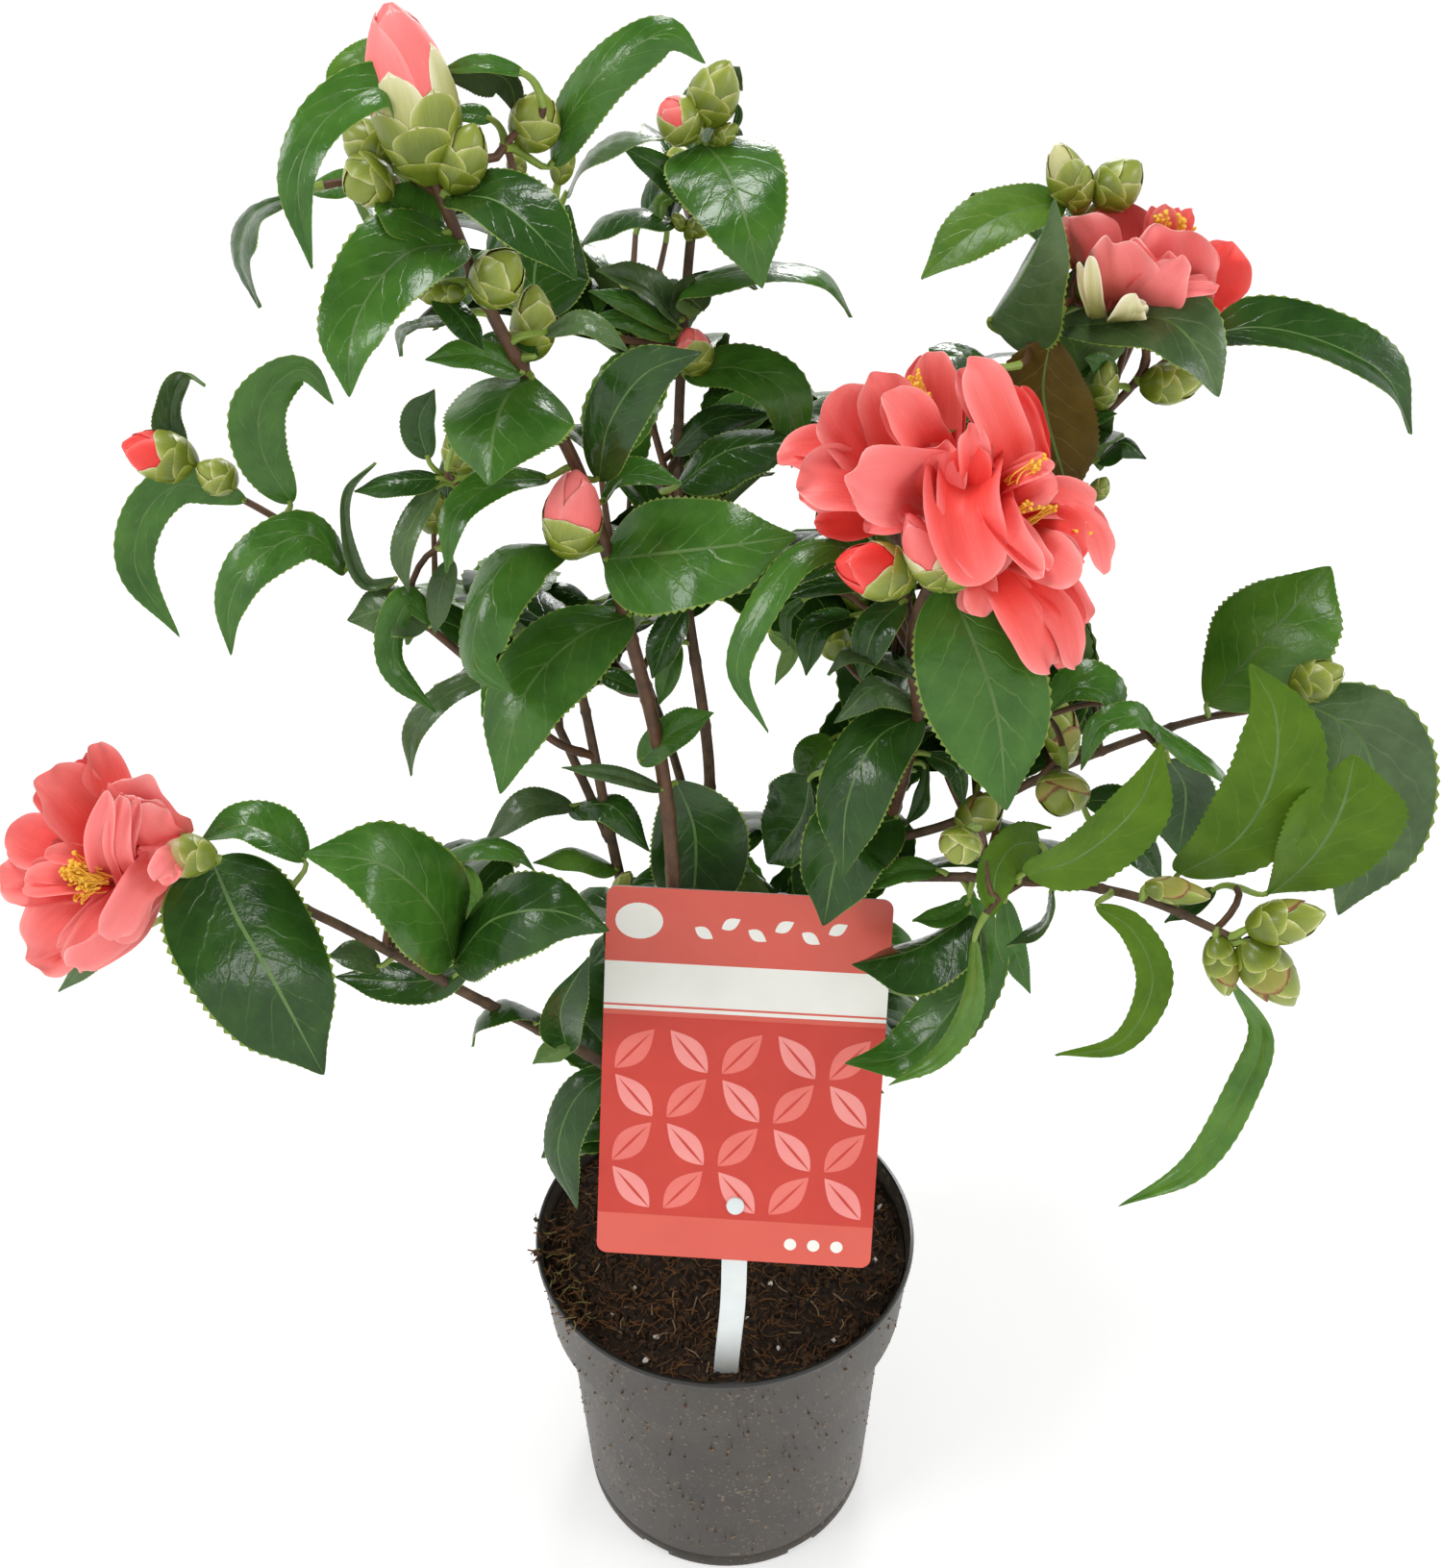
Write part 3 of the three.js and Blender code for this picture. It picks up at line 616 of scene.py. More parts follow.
shoots = {
    "crown_left": {"depth": -46, "leaves": [
        leafAt([(417, 158), (401, 92), (340, 122), (310, 185), (324, 280)], (20, 28), (14, 22), at=0.6),
        leafAt([(302, 203), (262, 222), (248, 268), (269, 321)], (9, 11), (4, 8), "deep", wide=26),
        leafAt([(380, 186), (345, 190), (314, 199)], (15, 12), (-4, -6), depth=-34),
        leafAt([(404, 58), (368, 70), (338, 104)], (8, 22), (-5, -2), "fresh", depth=-40),
        leafAt([(462, 72), (496, 70), (530, 82), (541, 124)], (10, 24), (-4, -6), "deep", turned="dusk",
               at=0.55),
        leafAt([(546, 76), (505, 66), (455, 74)], (8, 10), (2, 0), depth=-50),
        leafAt([(512, 124), (490, 118), (466, 120)], (9, 11), (0, 0), depth=-40),
        leafAt([(483, 252), (425, 262), (385, 305), (364, 355), (363, 413)], (38, 52), (18, 30), widest=0.35,
               at=0.5),
        leafAt([(448, 250), (425, 225), (392, 198)], (22, 44), (-2, -4)),
        leafAt([(466, 202), (515, 208), (555, 238), (600, 291)], (44, 27), (14, 20), "deep"),
        leafAt([(556, 332), (558, 270), (592, 213)], (36, 58), (-8, -10), "deep", depth=-20),
        leafAt([(452, 302), (478, 328), (503, 364)], (14, 17), (4, 8), "deep"),
        leafAt([(468, 330), (436, 335), (416, 344), (415, 371)], (5, 7), (4, 6), "silver", wide=16),
        leafAt([(545, 388), (495, 368), (442, 374)], (16, 17), (4, 8)),
        leafAt([(560, 372), (520, 356), (486, 362)], (12, 14), (-4, -6), "deep"),
    ]},
    "crown_right": {"depth": 18, "leaves": [
        leafAt([(574, 172), (592, 120), (640, 62), (697, 35), (734, 66)], (23, 30), (12, 14), at=0.42,
               depth=-34),
        leafAt([(588, 203), (612, 160), (650, 142), (692, 143)], (5, 9), (4, 4), "silver", wide=22, depth=-6),
        leafAt([(716, 212), (690, 178), (646, 151)], (14, 15), (4, 4), "deep"),
        leafAt([(702, 204), (688, 210), (686, 234)], (8, 8), (2, 4), "lime"),
        leafAt([(733, 148), (757, 178), (778, 236), (793, 300)], (58, 58), (26, 34), widest=0.24, at=0.35),
        leafAt([(703, 232), (672, 219), (632, 227), (602, 256)], (16, 6), (4, 6), "deep", wide=22),
        leafAt([(729, 324), (712, 298), (745, 286), (810, 277), (860, 288), (887, 330)], (10, 15), (10, 12),
               at=0.6, wide=24),
        leafAt([(732, 322), (714, 300), (722, 286)], (18, 18), (6, 8), "deep", turned="dusk"),
        leafAt([(764, 134), (768, 118), (766, 106)], (4, 5), (-2, -2), "deep"),
    ]},
    "crown_middle": {"depth": -10, "leaves": [
        leafAt([(708, 336), (672, 298), (620, 280)], (7, 22), (8, 12), "silver"),
        leafAt([(706, 342), (662, 315), (612, 302)], (14, 10), (12, 18)),
        leafAt([(700, 352), (655, 332), (612, 330)], (12, 10), (10, 16)),
        leafAt([(566, 346), (610, 336), (655, 366)], (13, 11), (8, 12), "silver"),
        leafAt([(612, 294), (624, 310), (619, 331)], (8, 9), (14, 20)),
        leafAt([(622, 500), (634, 440), (672, 388), (730, 366)], (33, 33), (14, 22), "deep"),
        leafAt([(712, 388), (770, 383), (815, 408), (824, 487)], (30, 24), (14, 22)),
        leafAt([(556, 392), (530, 408), (514, 445), (509, 505)], (74, 52), (18, 28), widest=0.27, at=0.35),
        leafAt([(590, 455), (555, 447), (524, 470)], (12, 14), (-2, 2), "fresh"),
        leafAt([(705, 505), (757, 468), (835, 458)], (20, 36), (0, 2), "deep", depth=-4),
        leafAt([(698, 472), (742, 436), (802, 430)], (14, 17), (4, 4), "deep"),
        leafAt([(627, 522), (652, 494), (710, 503)], (18, 8), (4, 8)),
    ]},
    "middle": {"depth": -18, "leaves": [
        leafAt([(628, 582), (690, 575), (760, 567), (829, 557)], (60, 62), (16, 16), widest=0.36),
        leafAt([(590, 566), (540, 572), (503, 620), (494, 690), (533, 721)], (42, 20), (22, 34)),
        leafAt([(658, 640), (605, 660), (545, 722), (520, 826)], (48, 44), (22, 38), at=0.5),
        leafAt([(572, 497), (515, 503), (475, 535), (464, 597)], (14, 20), (18, 28)),
        leafAt([(905, 602), (878, 568), (832, 578), (786, 640), (766, 700), (799, 763)], (20, 16), (16, 28),
               at=0.65, depth=-50),
        leafAt([(712, 632), (695, 660), (678, 706)], (17, 20), (2, 6), "deep"),
        leafAt([(706, 668), (695, 700), (685, 734)], (12, 14), (0, 2)),
        leafAt([(664, 793), (700, 762), (742, 741)], (22, 17), (2, 6)),
        leafAt([(622, 700), (648, 710), (668, 722)], (12, 10), (2, 4), "deep"),
        leafAt([(614, 626), (585, 615), (552, 618)], (14, 10), (4, 8), "deep"),
        leafAt([(470, 470), (478, 452), (490, 455)], (8, 8), (2, 2), "fresh"),
        leafAt([(620, 640), (600, 645), (575, 640)], (12, 12), (-4, -4), "fresh"),
    ]},
    "left_shoot": {"depth": 0, "leaves": [
        leafAt([(186, 472), (178, 430), (193, 391), (213, 403)], (17, 14), (-4, -2), "silver", widest=0.3,
               at=0.3, wide=26),
        leafAt([(303, 524), (273, 470), (273, 420), (314, 385), (347, 421)], (30, 27), (10, 8), at=0.4),
        leafAt([(256, 521), (222, 510), (185, 505), (152, 533), (141, 590), (187, 663)], (22, 22), (12, 18),
               at=0.62),
        leafAt([(360, 596), (343, 570), (316, 556), (260, 588), (238, 632), (240, 682)], (25, 27), (16, 22),
               at=0.62),
    ]},
    "left_inner": {"depth": 2, "leaves": [
        leafAt([(414, 601), (382, 606), (364, 570), (362, 510), (392, 482)], (5, 9), (2, 0), "silver",
               wide=22, at=0.6),
        leafAt([(448, 645), (410, 632), (361, 645)], (30, 26), (6, 10), "silver"),
        leafAt([(452, 650), (424, 628), (410, 685), (454, 742)], (11, 20), (12, 18), at=0.6),
        leafAt([(512, 703), (465, 722), (430, 762), (427, 808)], (12, 15), (10, 14), "silver", at=0.6),
        leafAt([(445, 478), (436, 440), (452, 405)], (20, 16), (0, 2), "deep"),
        leafAt([(458, 497), (415, 500), (368, 511)], (16, 11), (4, 6), "deep"),
        leafAt([(456, 505), (428, 545), (418, 580), (425, 617)], (12, 15), (8, 12), "silver"),
        leafAt([(470, 582), (458, 615), (452, 660)], (14, 14), (6, 8), "silver"),
    ]},
    "low_left": {"depth": -52, "leaves": [
        leafAt([(220, 892), (246, 953), (282, 1015), (337, 1118)], (72, 73), (18, 28), "deep", widest=0.36),
        leafAt([(472, 1000), (455, 950), (395, 898), (316, 888)], (52, 56), (16, 24), at=0.55),
        leafAt([(318, 895), (280, 866), (250, 858), (209, 874)], (16, 32), (-2, 2), at=0.5),
        leafAt([(395, 1006), (370, 994), (341, 994)], (14, 17), (2, 4), "silver"),
        leafAt([(492, 1000), (440, 1020), (348, 1016)], (24, 23), (-4, -2), "deep"),
        leafAt([(152, 965), (104, 990), (60, 1032)], (14, 15), (-2, 0), "silver"),
    ]},
    "low_left_inner": {"depth": -30, "leaves": [
        leafAt([(470, 1003), (515, 955), (575, 947), (634, 968)], (42, 48), (16, 18), "deep", at=0.5),
        leafAt([(458, 890), (505, 878), (540, 888), (557, 906)], (8, 15), (4, 6)),
        leafAt([(482, 900), (489, 928), (480, 963)], (13, 14), (4, 6), "fresh"),
        leafAt([(643, 905), (600, 889), (554, 897)], (17, 8), (6, 8), "fresh"),
        leafAt([(596, 838), (552, 838), (504, 876)], (14, 20), (8, 10), "silver"),
        leafAt([(591, 842), (636, 838), (676, 886)], (14, 19), (12, 18), "deep"),
        leafAt([(690, 822), (640, 806), (584, 798)], (9, 10), (8, 12), "silver"),
        leafAt([(590, 1094), (584, 1048), (612, 996)], (22, 23), (12, 14), "deep", cup=0.5, widest=0.5),
        leafAt([(602, 1085), (580, 1092), (554, 1106)], (11, 15), (6, 8), turned="pale"),
        leafAt([(570, 1058), (530, 1045), (497, 1060), (490, 1089)], (14, 8), (4, 8), "deep", wide=20),
        leafAt([(642, 1110), (602, 1138), (580, 1195), (600, 1258)], (26, 20), (10, 16), "deep"),
    ]},
    "low_middle": {"depth": -12, "leaves": [
        leafAt([(703, 812), (722, 862), (722, 925), (716, 962)], (58, 48), (-6, -8), "deep", depth=-4,
               widest=0.5),
        leafAt([(842, 810), (834, 850), (798, 898)], (22, 48), (-4, -6), "deep", depth=0),
        leafAt([(866, 768), (846, 786), (832, 815)], (18, 21), (4, 8), "fresh"),
        leafAt([(680, 1010), (655, 990), (640, 940)], (22, 16), (-4, -6), "deep", depth=-10),
    ]},
    "centre_right": {"depth": -24, "leaves": [
        leafAt([(958, 742), (912, 768), (882, 830), (876, 913)], (44, 38), (16, 26), "deep"),
        leafAt([(935, 850), (880, 872), (856, 963)], (50, 46), (16, 24), "deep", at=0.5),
        leafAt([(985, 606), (1012, 665), (1038, 745), (1047, 843)], (62, 70), (16, 28), at=0.5),
        leafAt([(965, 733), (915, 712), (867, 752)], (22, 7), (8, 12), "silver"),
        leafAt([(956, 706), (915, 682), (882, 680), (860, 702)], (7, 5), (10, 14), "silver", wide=18),
        leafAt([(940, 625), (910, 655), (895, 708)], (20, 22), (4, 8), "deep"),
        leafAt([(888, 640), (850, 655), (838, 703)], (14, 19), (6, 10), "deep"),
        leafAt([(890, 575), (830, 588), (766, 618)], (18, 16), (2, 4), "deep", depth=-34),
        leafAt([(905, 606), (860, 607), (813, 621)], (12, 12), (0, 2), "deep", depth=-30),
        leafAt([(800, 657), (824, 675), (806, 713)], (7, 12), (4, 6), turned="pale", depth=-26),
        leafAt([(838, 622), (818, 640), (820, 673)], (7, 7), (2, 4), "deep", depth=-28),
        leafAt([(1088, 742), (1120, 715), (1150, 722), (1158, 758)], (30, 10), (4, 10), depth=-44),
        leafAt([(964, 784), (995, 800), (1003, 839)], (11, 13), (4, 8), "deep"),
        leafAt([(963, 795), (958, 830), (940, 860)], (7, 9), (2, 4), "deep", wide=16),
        leafAt([(955, 702), (945, 690), (931, 688)], (9, 9), (4, 6), "silver"),
    ]},
    "upper_right": {"depth": -6, "leaves": [
        leafAt([(1108, 212), (1075, 214), (1020, 236), (958, 290)], (27, 33), (8, 14), "lime", at=0.55),
        leafAt([(1028, 334), (1058, 292), (1082, 246), (1096, 206)], (10, 62), (22, 30), "silver", widest=0.3,
               at=0.34),
        leafAt([(1080, 341), (1150, 336), (1212, 332), (1248, 366), (1268, 413)], (42, 30), (22, 34),
               "silver", at=0.64, widest=0.6),
        leafAt([(1238, 352), (1306, 340), (1385, 358), (1445, 395), (1469, 452)], (36, 15), (8, 12), "deep",
               at=0.5),
        leafAt([(1093, 350), (1086, 410), (1115, 521)], (50, 58), (-2, 2), "deep", turned="bronze",
               widest=0.5, depth=-22),
        leafAt([(1104, 328), (1088, 345), (1070, 362)], (12, 12), (2, 4), "deep"),
        leafAt([(1034, 380), (1002, 362), (966, 362)], (7, 6), (0, 0), "deep", depth=-30, wide=16),
        leafAt([(1140, 480), (1168, 460), (1193, 477)], (5, 16), (4, 6), "deep", depth=-14),
        leafAt([(1160, 402), (1145, 378), (1128, 372)], (12, 12), (2, 4)),
        leafAt([(1135, 440), (1150, 432), (1162, 430)], (6, 6), (2, 4)),
    ]},
    "right_outer": {"depth": -12, "leaves": [
        leafAt([(1254, 733), (1300, 684), (1340, 638), (1384, 589)], (60, 62), (2, -6), "fresh", widest=0.5),
        leafAt([(1225, 908), (1285, 872), (1322, 810), (1326, 740), (1300, 690)], (46, 52), (14, 14), "lime",
               turned="glow", at=0.5, depth=-70),
        leafAt([(1316, 931), (1362, 892), (1393, 842), (1408, 784)], (46, 62), (8, 10), "lime", turned="glow",
               widest=0.62, at=0.6, depth=-76),
        leafAt([(1352, 728), (1415, 768), (1430, 850), (1392, 952)], (62, 52), (10, 14), "silver", depth=-30),
        leafAt([(1215, 790), (1233, 820), (1226, 890)], (30, 46), (-4, -4), "deep", depth=-20),
        leafAt([(1066, 908), (1120, 890), (1182, 836), (1209, 772)], (26, 38), (12, 14), "lime",
               turned="glow", depth=-74),
        leafAt([(1212, 778), (1184, 745), (1145, 755), (1124, 802)], (12, 16), (6, 8), depth=-60),
        leafAt([(1190, 742), (1225, 772), (1268, 800), (1283, 825), (1278, 861)], (8, 10), (8, 10), wide=20,
               depth=-50),
        leafAt([(1128, 832), (1165, 836), (1200, 880)], (18, 19), (2, 4), "deep", depth=-46),
        leafAt([(1162, 872), (1186, 885), (1208, 914)], (20, 15), (2, 4), "deep", depth=-48),
        leafAt([(1264, 924), (1240, 944), (1211, 959)], (8, 11), (2, 4), "deep", depth=-70),
    ]},
    "low_right": {"depth": -76, "leaves": [
        leafAt([(1080, 876), (1052, 880), (1035, 905), (1032, 955)], (26, 19), (10, 14), "lime",
               turned="glow"),
        leafAt([(1040, 873), (1065, 858), (1094, 860)], (8, 13), (10, 12), "lime", turned="glow"),
        leafAt([(1008, 930), (1019, 985), (990, 1050), (940, 1097), (879, 1106)], (34, 38), (10, 20)),
        leafAt([(1012, 948), (955, 985), (886, 1003)], (46, 12), (2, 6), "deep"),
        leafAt([(1014, 975), (1008, 1050), (975, 1100), (924, 1129)], (14, 13), (-2, 0), "fresh", at=0.7),
        leafAt([(1140, 942), (1176, 965), (1198, 1020), (1165, 1082), (1097, 1097)], (20, 15), (8, 8),
               "fresh", turned="glow", at=0.5, depth=-84),
        leafAt([(1284, 1025), (1312, 1075), (1294, 1130), (1240, 1215), (1163, 1255)], (16, 18), (6, 8),
               "fresh", at=0.4, depth=-94),
        leafAt([(1094, 925), (1085, 960), (1046, 984)], (6, 7), (4, 6), "silver", wide=18),
        leafAt([(1045, 935), (1055, 985), (1072, 1034)], (13, 16), (2, 4)),
        leafAt([(977, 905), (940, 905), (898, 926)], (12, 14), (4, 6)),
        leafAt([(1008, 940), (980, 955), (949, 957)], (10, 14), (4, 6)),
    ]},
}


def growFacing():
    heaps = {}
    waiting = []
    for shoot, group in shoots.items():
        heaps[shoot] = newHeap("leaves_" + shoot, leafMaterials)
        for item in group["leaves"]:
            depth = item["depth"] * mm if "depth" in item else depthAt(item["line"][0], group["depth"])
            path = pathInView(item["line"], item["out"], depth)
            waiting.append((heaps[shoot], item, path))
    while waiting:  # nearest to the wood first, so that later ones can sit on earlier twigs
        gaps = [np.linalg.norm(skeleton["at"] - path[0], axis=1).min() for _, _, path in waiting]
        heap, item, path = waiting.pop(int(np.argmin(gaps)))
        turned = item.get("turned")
        at = item.get("at", 0.45)
        left, right, half = halvesInView(path, at, item["sides"], item.get("wide"), turned)
        look = item["look"]
        under = turned or ("glow" if look == "lime" else "pale")
        run = leaf(heap, path, left, right, at, half, item.get("widest", 0.42), look, under,
                   item.get("cup", -0.1))
        attach(run[0], unit(run[2] - run[0]))
    return heaps


leafHeaps = growFacing()
print("facing leaves grown")

# Buds: an egg of overlapping scales, green at the foot and cream towards the tip.
budSkin = {"patch": 5, "grain": 1.4, "depth": 0.1}
budFinish = {
    "green": graded("bud_scale_green", [
        (0.3, "#62721a"), (0.56, "#8e9a36"), (0.7, "#b3b862"), (0.82, "#dcd49e"), (0.95, "#eee4c2"),
    ], 0.32, **budSkin, Roughness=0.3),
    "lime": graded("bud_scale_lime", [
        (0.3, "#74842a"), (0.54, "#9aa444"), (0.68, "#bfc278"), (0.8, "#e2dab0"), (0.95, "#f0e8cc"),
    ], 0.34, **budSkin, Roughness=0.34),
    "cream": graded("bud_scale_cream", [
        (0.25, "#aeb062"), (0.5, "#d4d09a"), (0.75, "#efe6c4"), (0.95, "#f7f0da"),
    ], 0.36, **budSkin, Roughness=0.42),
    "brown": graded("bud_scale_dry_brown", [
        (0.34, "#8a8a34"), (0.5, "#a0984c"), (0.58, "#8a5228"), (0.76, "#6c3a1c"), (0.9, "#dccb9c"),
    ], 0.34, **budSkin, Roughness=0.55),
}
petalSkin = {"patch": 12, "grain": 1.4, "depth": 0.2, "Roughness": 0.5}
petalFinish = {
    "inner": graded("petal_coral_inner", [
        (0.05, "#e83024"), (0.3, "#f4564e"), (0.55, "#fd7f7b"), (0.78, "#ff9a95"), (0.9, "#ffbab4"),
        (1.0, "#ffd8d2"),
    ], 0.3, **petalSkin),
    "outer": graded("petal_coral_outer", [
        (0.0, "#f09a86"), (0.18, "#f26c68"), (0.55, "#fd8482"), (0.78, "#ff9a96"), (0.9, "#ffb8b2"),
        (1.0, "#ffd4ce"),
    ], 0.3, **petalSkin),
    "throat": graded("petal_throat_red", [
        (0.05, "#dc2414"), (0.5, "#f04038"), (0.8, "#fa6e68"), (1.0, "#ffa8a0"),
    ], 0.2, **petalSkin),
}
stamenFinish = mottled("stamen_yellow", "#f0a81c", "#fbd850", patch=3, grain=1, depth=0.1, Roughness=0.6)
budOrder = [*budFinish, *petalFinish]
budMaterials = [*budFinish.values(), *petalFinish.values()]
budHeap = newHeap("flower_buds", budMaterials)
wrapHeap = newHeap("bud_tip_petals", budMaterials)
budStyle = {
    "thickness": 0.3 * mm, "rows": 11, "columns": 8, "bigRows": 15, "bigColumns": 13,
    "spread": 1.15,  # a scale's half width, as an angle round the bud
    "shorter": (0.72, 0.8),  # how much shorter the outer scales are, and how soon
    "lift": (0.08, 0.38),  # how far the inmost scale stands off the bud, and how much more the outmost
    "fullSize": 0.006,  # a bud thinner than this has its scales closer
    "wrap": (0.99, 0.96, 0.9),  # how far up the petals reach that wrap a coral tip
}


def eggRadius(t):
    return np.sin(math.pi * np.clip(t, 0, 1) ** 0.86) ** 0.62


def budScale(heap, foot, axis, side, length, radius, turn, top, half, lift, kind, rows=budStyle["rows"],
             columns=budStyle["columns"]):
    # One scale: a rounded patch of the egg from its foot up to top, lifted off the ones inside it.
    a = np.sin(np.linspace(0.03, math.pi / 2, rows))[:, None]
    b = np.linspace(-1, 1, columns)[None, :]
    t = a * top * (1 - 0.05 * b * b * a)
    spread = half * np.sqrt(np.maximum(1 - a**7, 0.003))
    angle = turn + b * spread
    reach = radius * eggRadius(t * 0.97 + 0.015) + lift * (0.5 + 0.5 * a * a) + 0.1 * mm
    other = np.cross(axis, side)

    def at(extra):
        out = np.cos(angle)[..., None] * side + np.sin(angle)[..., None] * other
        return foot + axis * (t * length)[..., None] + out * (reach + extra)[..., None]

    points = np.concatenate([at(0).reshape(-1, 3), at(-budStyle["thickness"])[1:-1, 1:-1].reshape(-1, 3)])
    heapUp(heap, points, bladeFaces(rows, columns), [budOrder.index(kind)] * 2, bladeMap(rows, b[0]))


def egg(heap, foot, axis, side, length, radius, kind, rows=12, sides=14, shrink=0.93):
    t = np.linspace(0.01, 0.99, rows)
    path = foot + axis * (t * length)[:, None]
    tube(heap, path, radius * eggRadius(t) * shrink, kind, sides)


def bud(heap, foot, tip, radius, scales=10, reachTop=1.0, core="lime", dry=0, kinds=("lime", "green")):
    axis = unit(tip - foot)
    length = np.linalg.norm(tip - foot)
    side = unit(np.cross(axis, [0.2, 0.9, 0.4]))
    egg(heap, foot, axis, side, length, radius, budOrder.index(core))
    start = dice.uniform(0, 6.28)
    if core in petalFinish:  # a coral tip is itself wrapped in petals
        for k, top in enumerate(budStyle["wrap"]):
            budScale(wrapHeap, foot, axis, side, length, radius * 0.96, start + 1 + goldenTurn * k,
                     top, 1.3, 0.03 * mm, core, budStyle["bigRows"], budStyle["bigColumns"])
    for k in range(scales):
        share = k / (scales - 1)
        shorter, soon = budStyle["shorter"]
        top = (1.0 - shorter * share**soon) * reachTop
        kind = kinds[1] if share > 0.3 else kinds[0]
        if dry and k in (2, 4) and dice.random() < dry:
            kind = "brown"
        low, more = budStyle["lift"]
        lift = (low + more * share) * mm * min(1, radius / budStyle["fullSize"])
        budScale(heap, foot, axis, side, length, radius, start + goldenTurn * k, top, budStyle["spread"],
                 lift, kind)


# Each bud as seen: foot, tip and half width in the view; core is what shows where its scales part.
def budAt(foot, tip, half, out=3, **more):
    return {"foot": foot, "tip": tip, "half": half, "out": out, **more}


buds = {"depth": -20, "list": [
    budAt((409, 168), (356, 132), 25, 4, depth=-46), budAt((402, 172), (362, 205), 27, 8, depth=-50),
    budAt((470, 201), (494, 128), 25, 2), budAt((550, 155), (564, 95), 26, 6, depth=-38),
    budAt((540, 186), (534, 156), 10, 0, depth=-30, core="cream"),
    budAt((580, 192), (592, 144), 12, 0, depth=-20), budAt((500, 312), (537, 264), 27, 8),
    budAt((553, 373), (557, 296), 23, 6), budAt((484, 304), (433, 308), 12, 0),
    budAt((446, 184), (430, 166), 9, 2, depth=-48),
    budAt((727, 389), (716, 341), 20, 6, core="inner", reachTop=0.86), budAt((729, 131), (758, 62), 26, 4),
    budAt((724, 140), (688, 108), 24, 8, core="inner", reachTop=0.94), budAt((740, 150), (768, 130), 10, 4),
    budAt((712, 240), (700, 221), 7, 1), budAt((712, 243), (750, 224), 11, 2),
    budAt((592, 578), (600, 489), 31, 8, core="outer", reachTop=0.68, depth=-40),
    budAt((490, 490), (464, 454), 18, 2, depth=6), budAt((244, 508), (206, 482), 19, 6),
    budAt((206, 486), (126, 462), 27, 8, core="throat", reachTop=0.84),
    budAt((950, 602), (870, 584), 30, 10, core="throat", reachTop=0.78, depth=-66),
    budAt((640, 932), (656, 906), 9, 2), budAt((1120, 214), (1098, 150), 20, 4, core="cream"),
    budAt((1118, 222), (1130, 172), 14, 6), budAt((1140, 214), (1186, 168), 25, 4),
    budAt((1185, 400), (1252, 398), 21, 6), budAt((1145, 426), (1152, 376), 15, 3),
    budAt((1138, 520), (1150, 496), 10, 2, depth=-14), budAt((1108, 795), (1100, 722), 18, 4, dry=1),
    budAt((1108, 805), (1102, 848), 27, 12, dry=1, depth=-60),
    budAt((1000, 866), (1040, 826), 21, 6, dry=1), budAt((1004, 864), (993, 898), 22, 10, dry=1, depth=-78),
    budAt((1342, 720), (1398, 694), 21, 4),
    budAt((1190, 922), (1260, 932), 14, 4, core="brown", dry=1, scales=6),
    budAt((1296, 966), (1380, 950), 23, 6, dry=1), budAt((1294, 978), (1346, 1046), 26, 8, dry=1),
    budAt((1264, 974), (1278, 1036), 17, 6, dry=1),
]}


def standing(item, depth):  # foot, tip and radius of a bud whose foot is at y = depth
    foot = inView(*item["foot"], depth)
    tip = inView(*item["tip"], depth - item["out"] * mm)
    return foot, tip, item["half"] / seenAt((foot + tip) / 2)[1][0]


def growBuds():
    for item in buds["list"]:
        depth = item["depth"] * mm if "depth" in item else depthAt(item["foot"], buds["depth"], 60)
        foot, tip, radius = standing(item, depth)
        bud(budHeap, foot, tip, radius, item.get("scales", 11), item.get("reachTop", 1.0),
            item.get("core", "lime"), item.get("dry", 0))
        attach(foot, unit(tip - foot), 1.3 * mm)


growBuds()
# The big opening bud at the top: coral above, cream scales parting over it, green ones at its foot.
openingBud = {
    "foot": (452, 192), "tip": (403, 1), "half": 46, "depth": -56, "out": 2,
    "scales": [  # from the inside out: how far up each reaches, its finish, and its half width as an angle
        (0.99, "outer", 1.7), (0.98, "outer", 1.6), (0.96, "outer", 1.5), (0.76, "cream", 0.62),
        (0.7, "cream", 0.6), (0.66, "cream", 0.7), (0.6, "cream", 0.66), (0.56, "lime", 0.7),
        (0.53, "lime", 0.75), (0.5, "cream", 0.7), (0.47, "lime", 0.8), (0.43, "green", 0.8),
        (0.4, "lime", 0.8), (0.36, "green", 0.85), (0.32, "lime", 0.9), (0.28, "green", 0.95),
        (0.24, "green", 1.0), (0.2, "green", 1.1), (0.16, "green", 1.2), (0.12, "green", 1.3),
        (0.09, "green", 1.4),
    ],
}
openingHeap = newHeap("opening_bud_scales", budMaterials)


def growOpeningBud():
    foot, tip, radius = standing(openingBud, openingBud["depth"] * mm)
    axis = unit(tip - foot)
    length = np.linalg.norm(tip - foot)
    side = unit(np.cross(axis, [0.2, 0.9, 0.4]))
    egg(openingHeap, foot, axis, side, length, radius, budOrder.index("outer"), 30, 32, 0.97)
    for k, (top, kind, half) in enumerate(openingBud["scales"]):
        budScale(openingHeap, foot, axis, side, length, radius, 2.2 + goldenTurn * k, top, half,
                 (0.04 + 0.025 * k) * mm, kind, budStyle["bigRows"], budStyle["bigColumns"])
    attach(foot, axis, 1.8 * mm)


growOpeningBud()

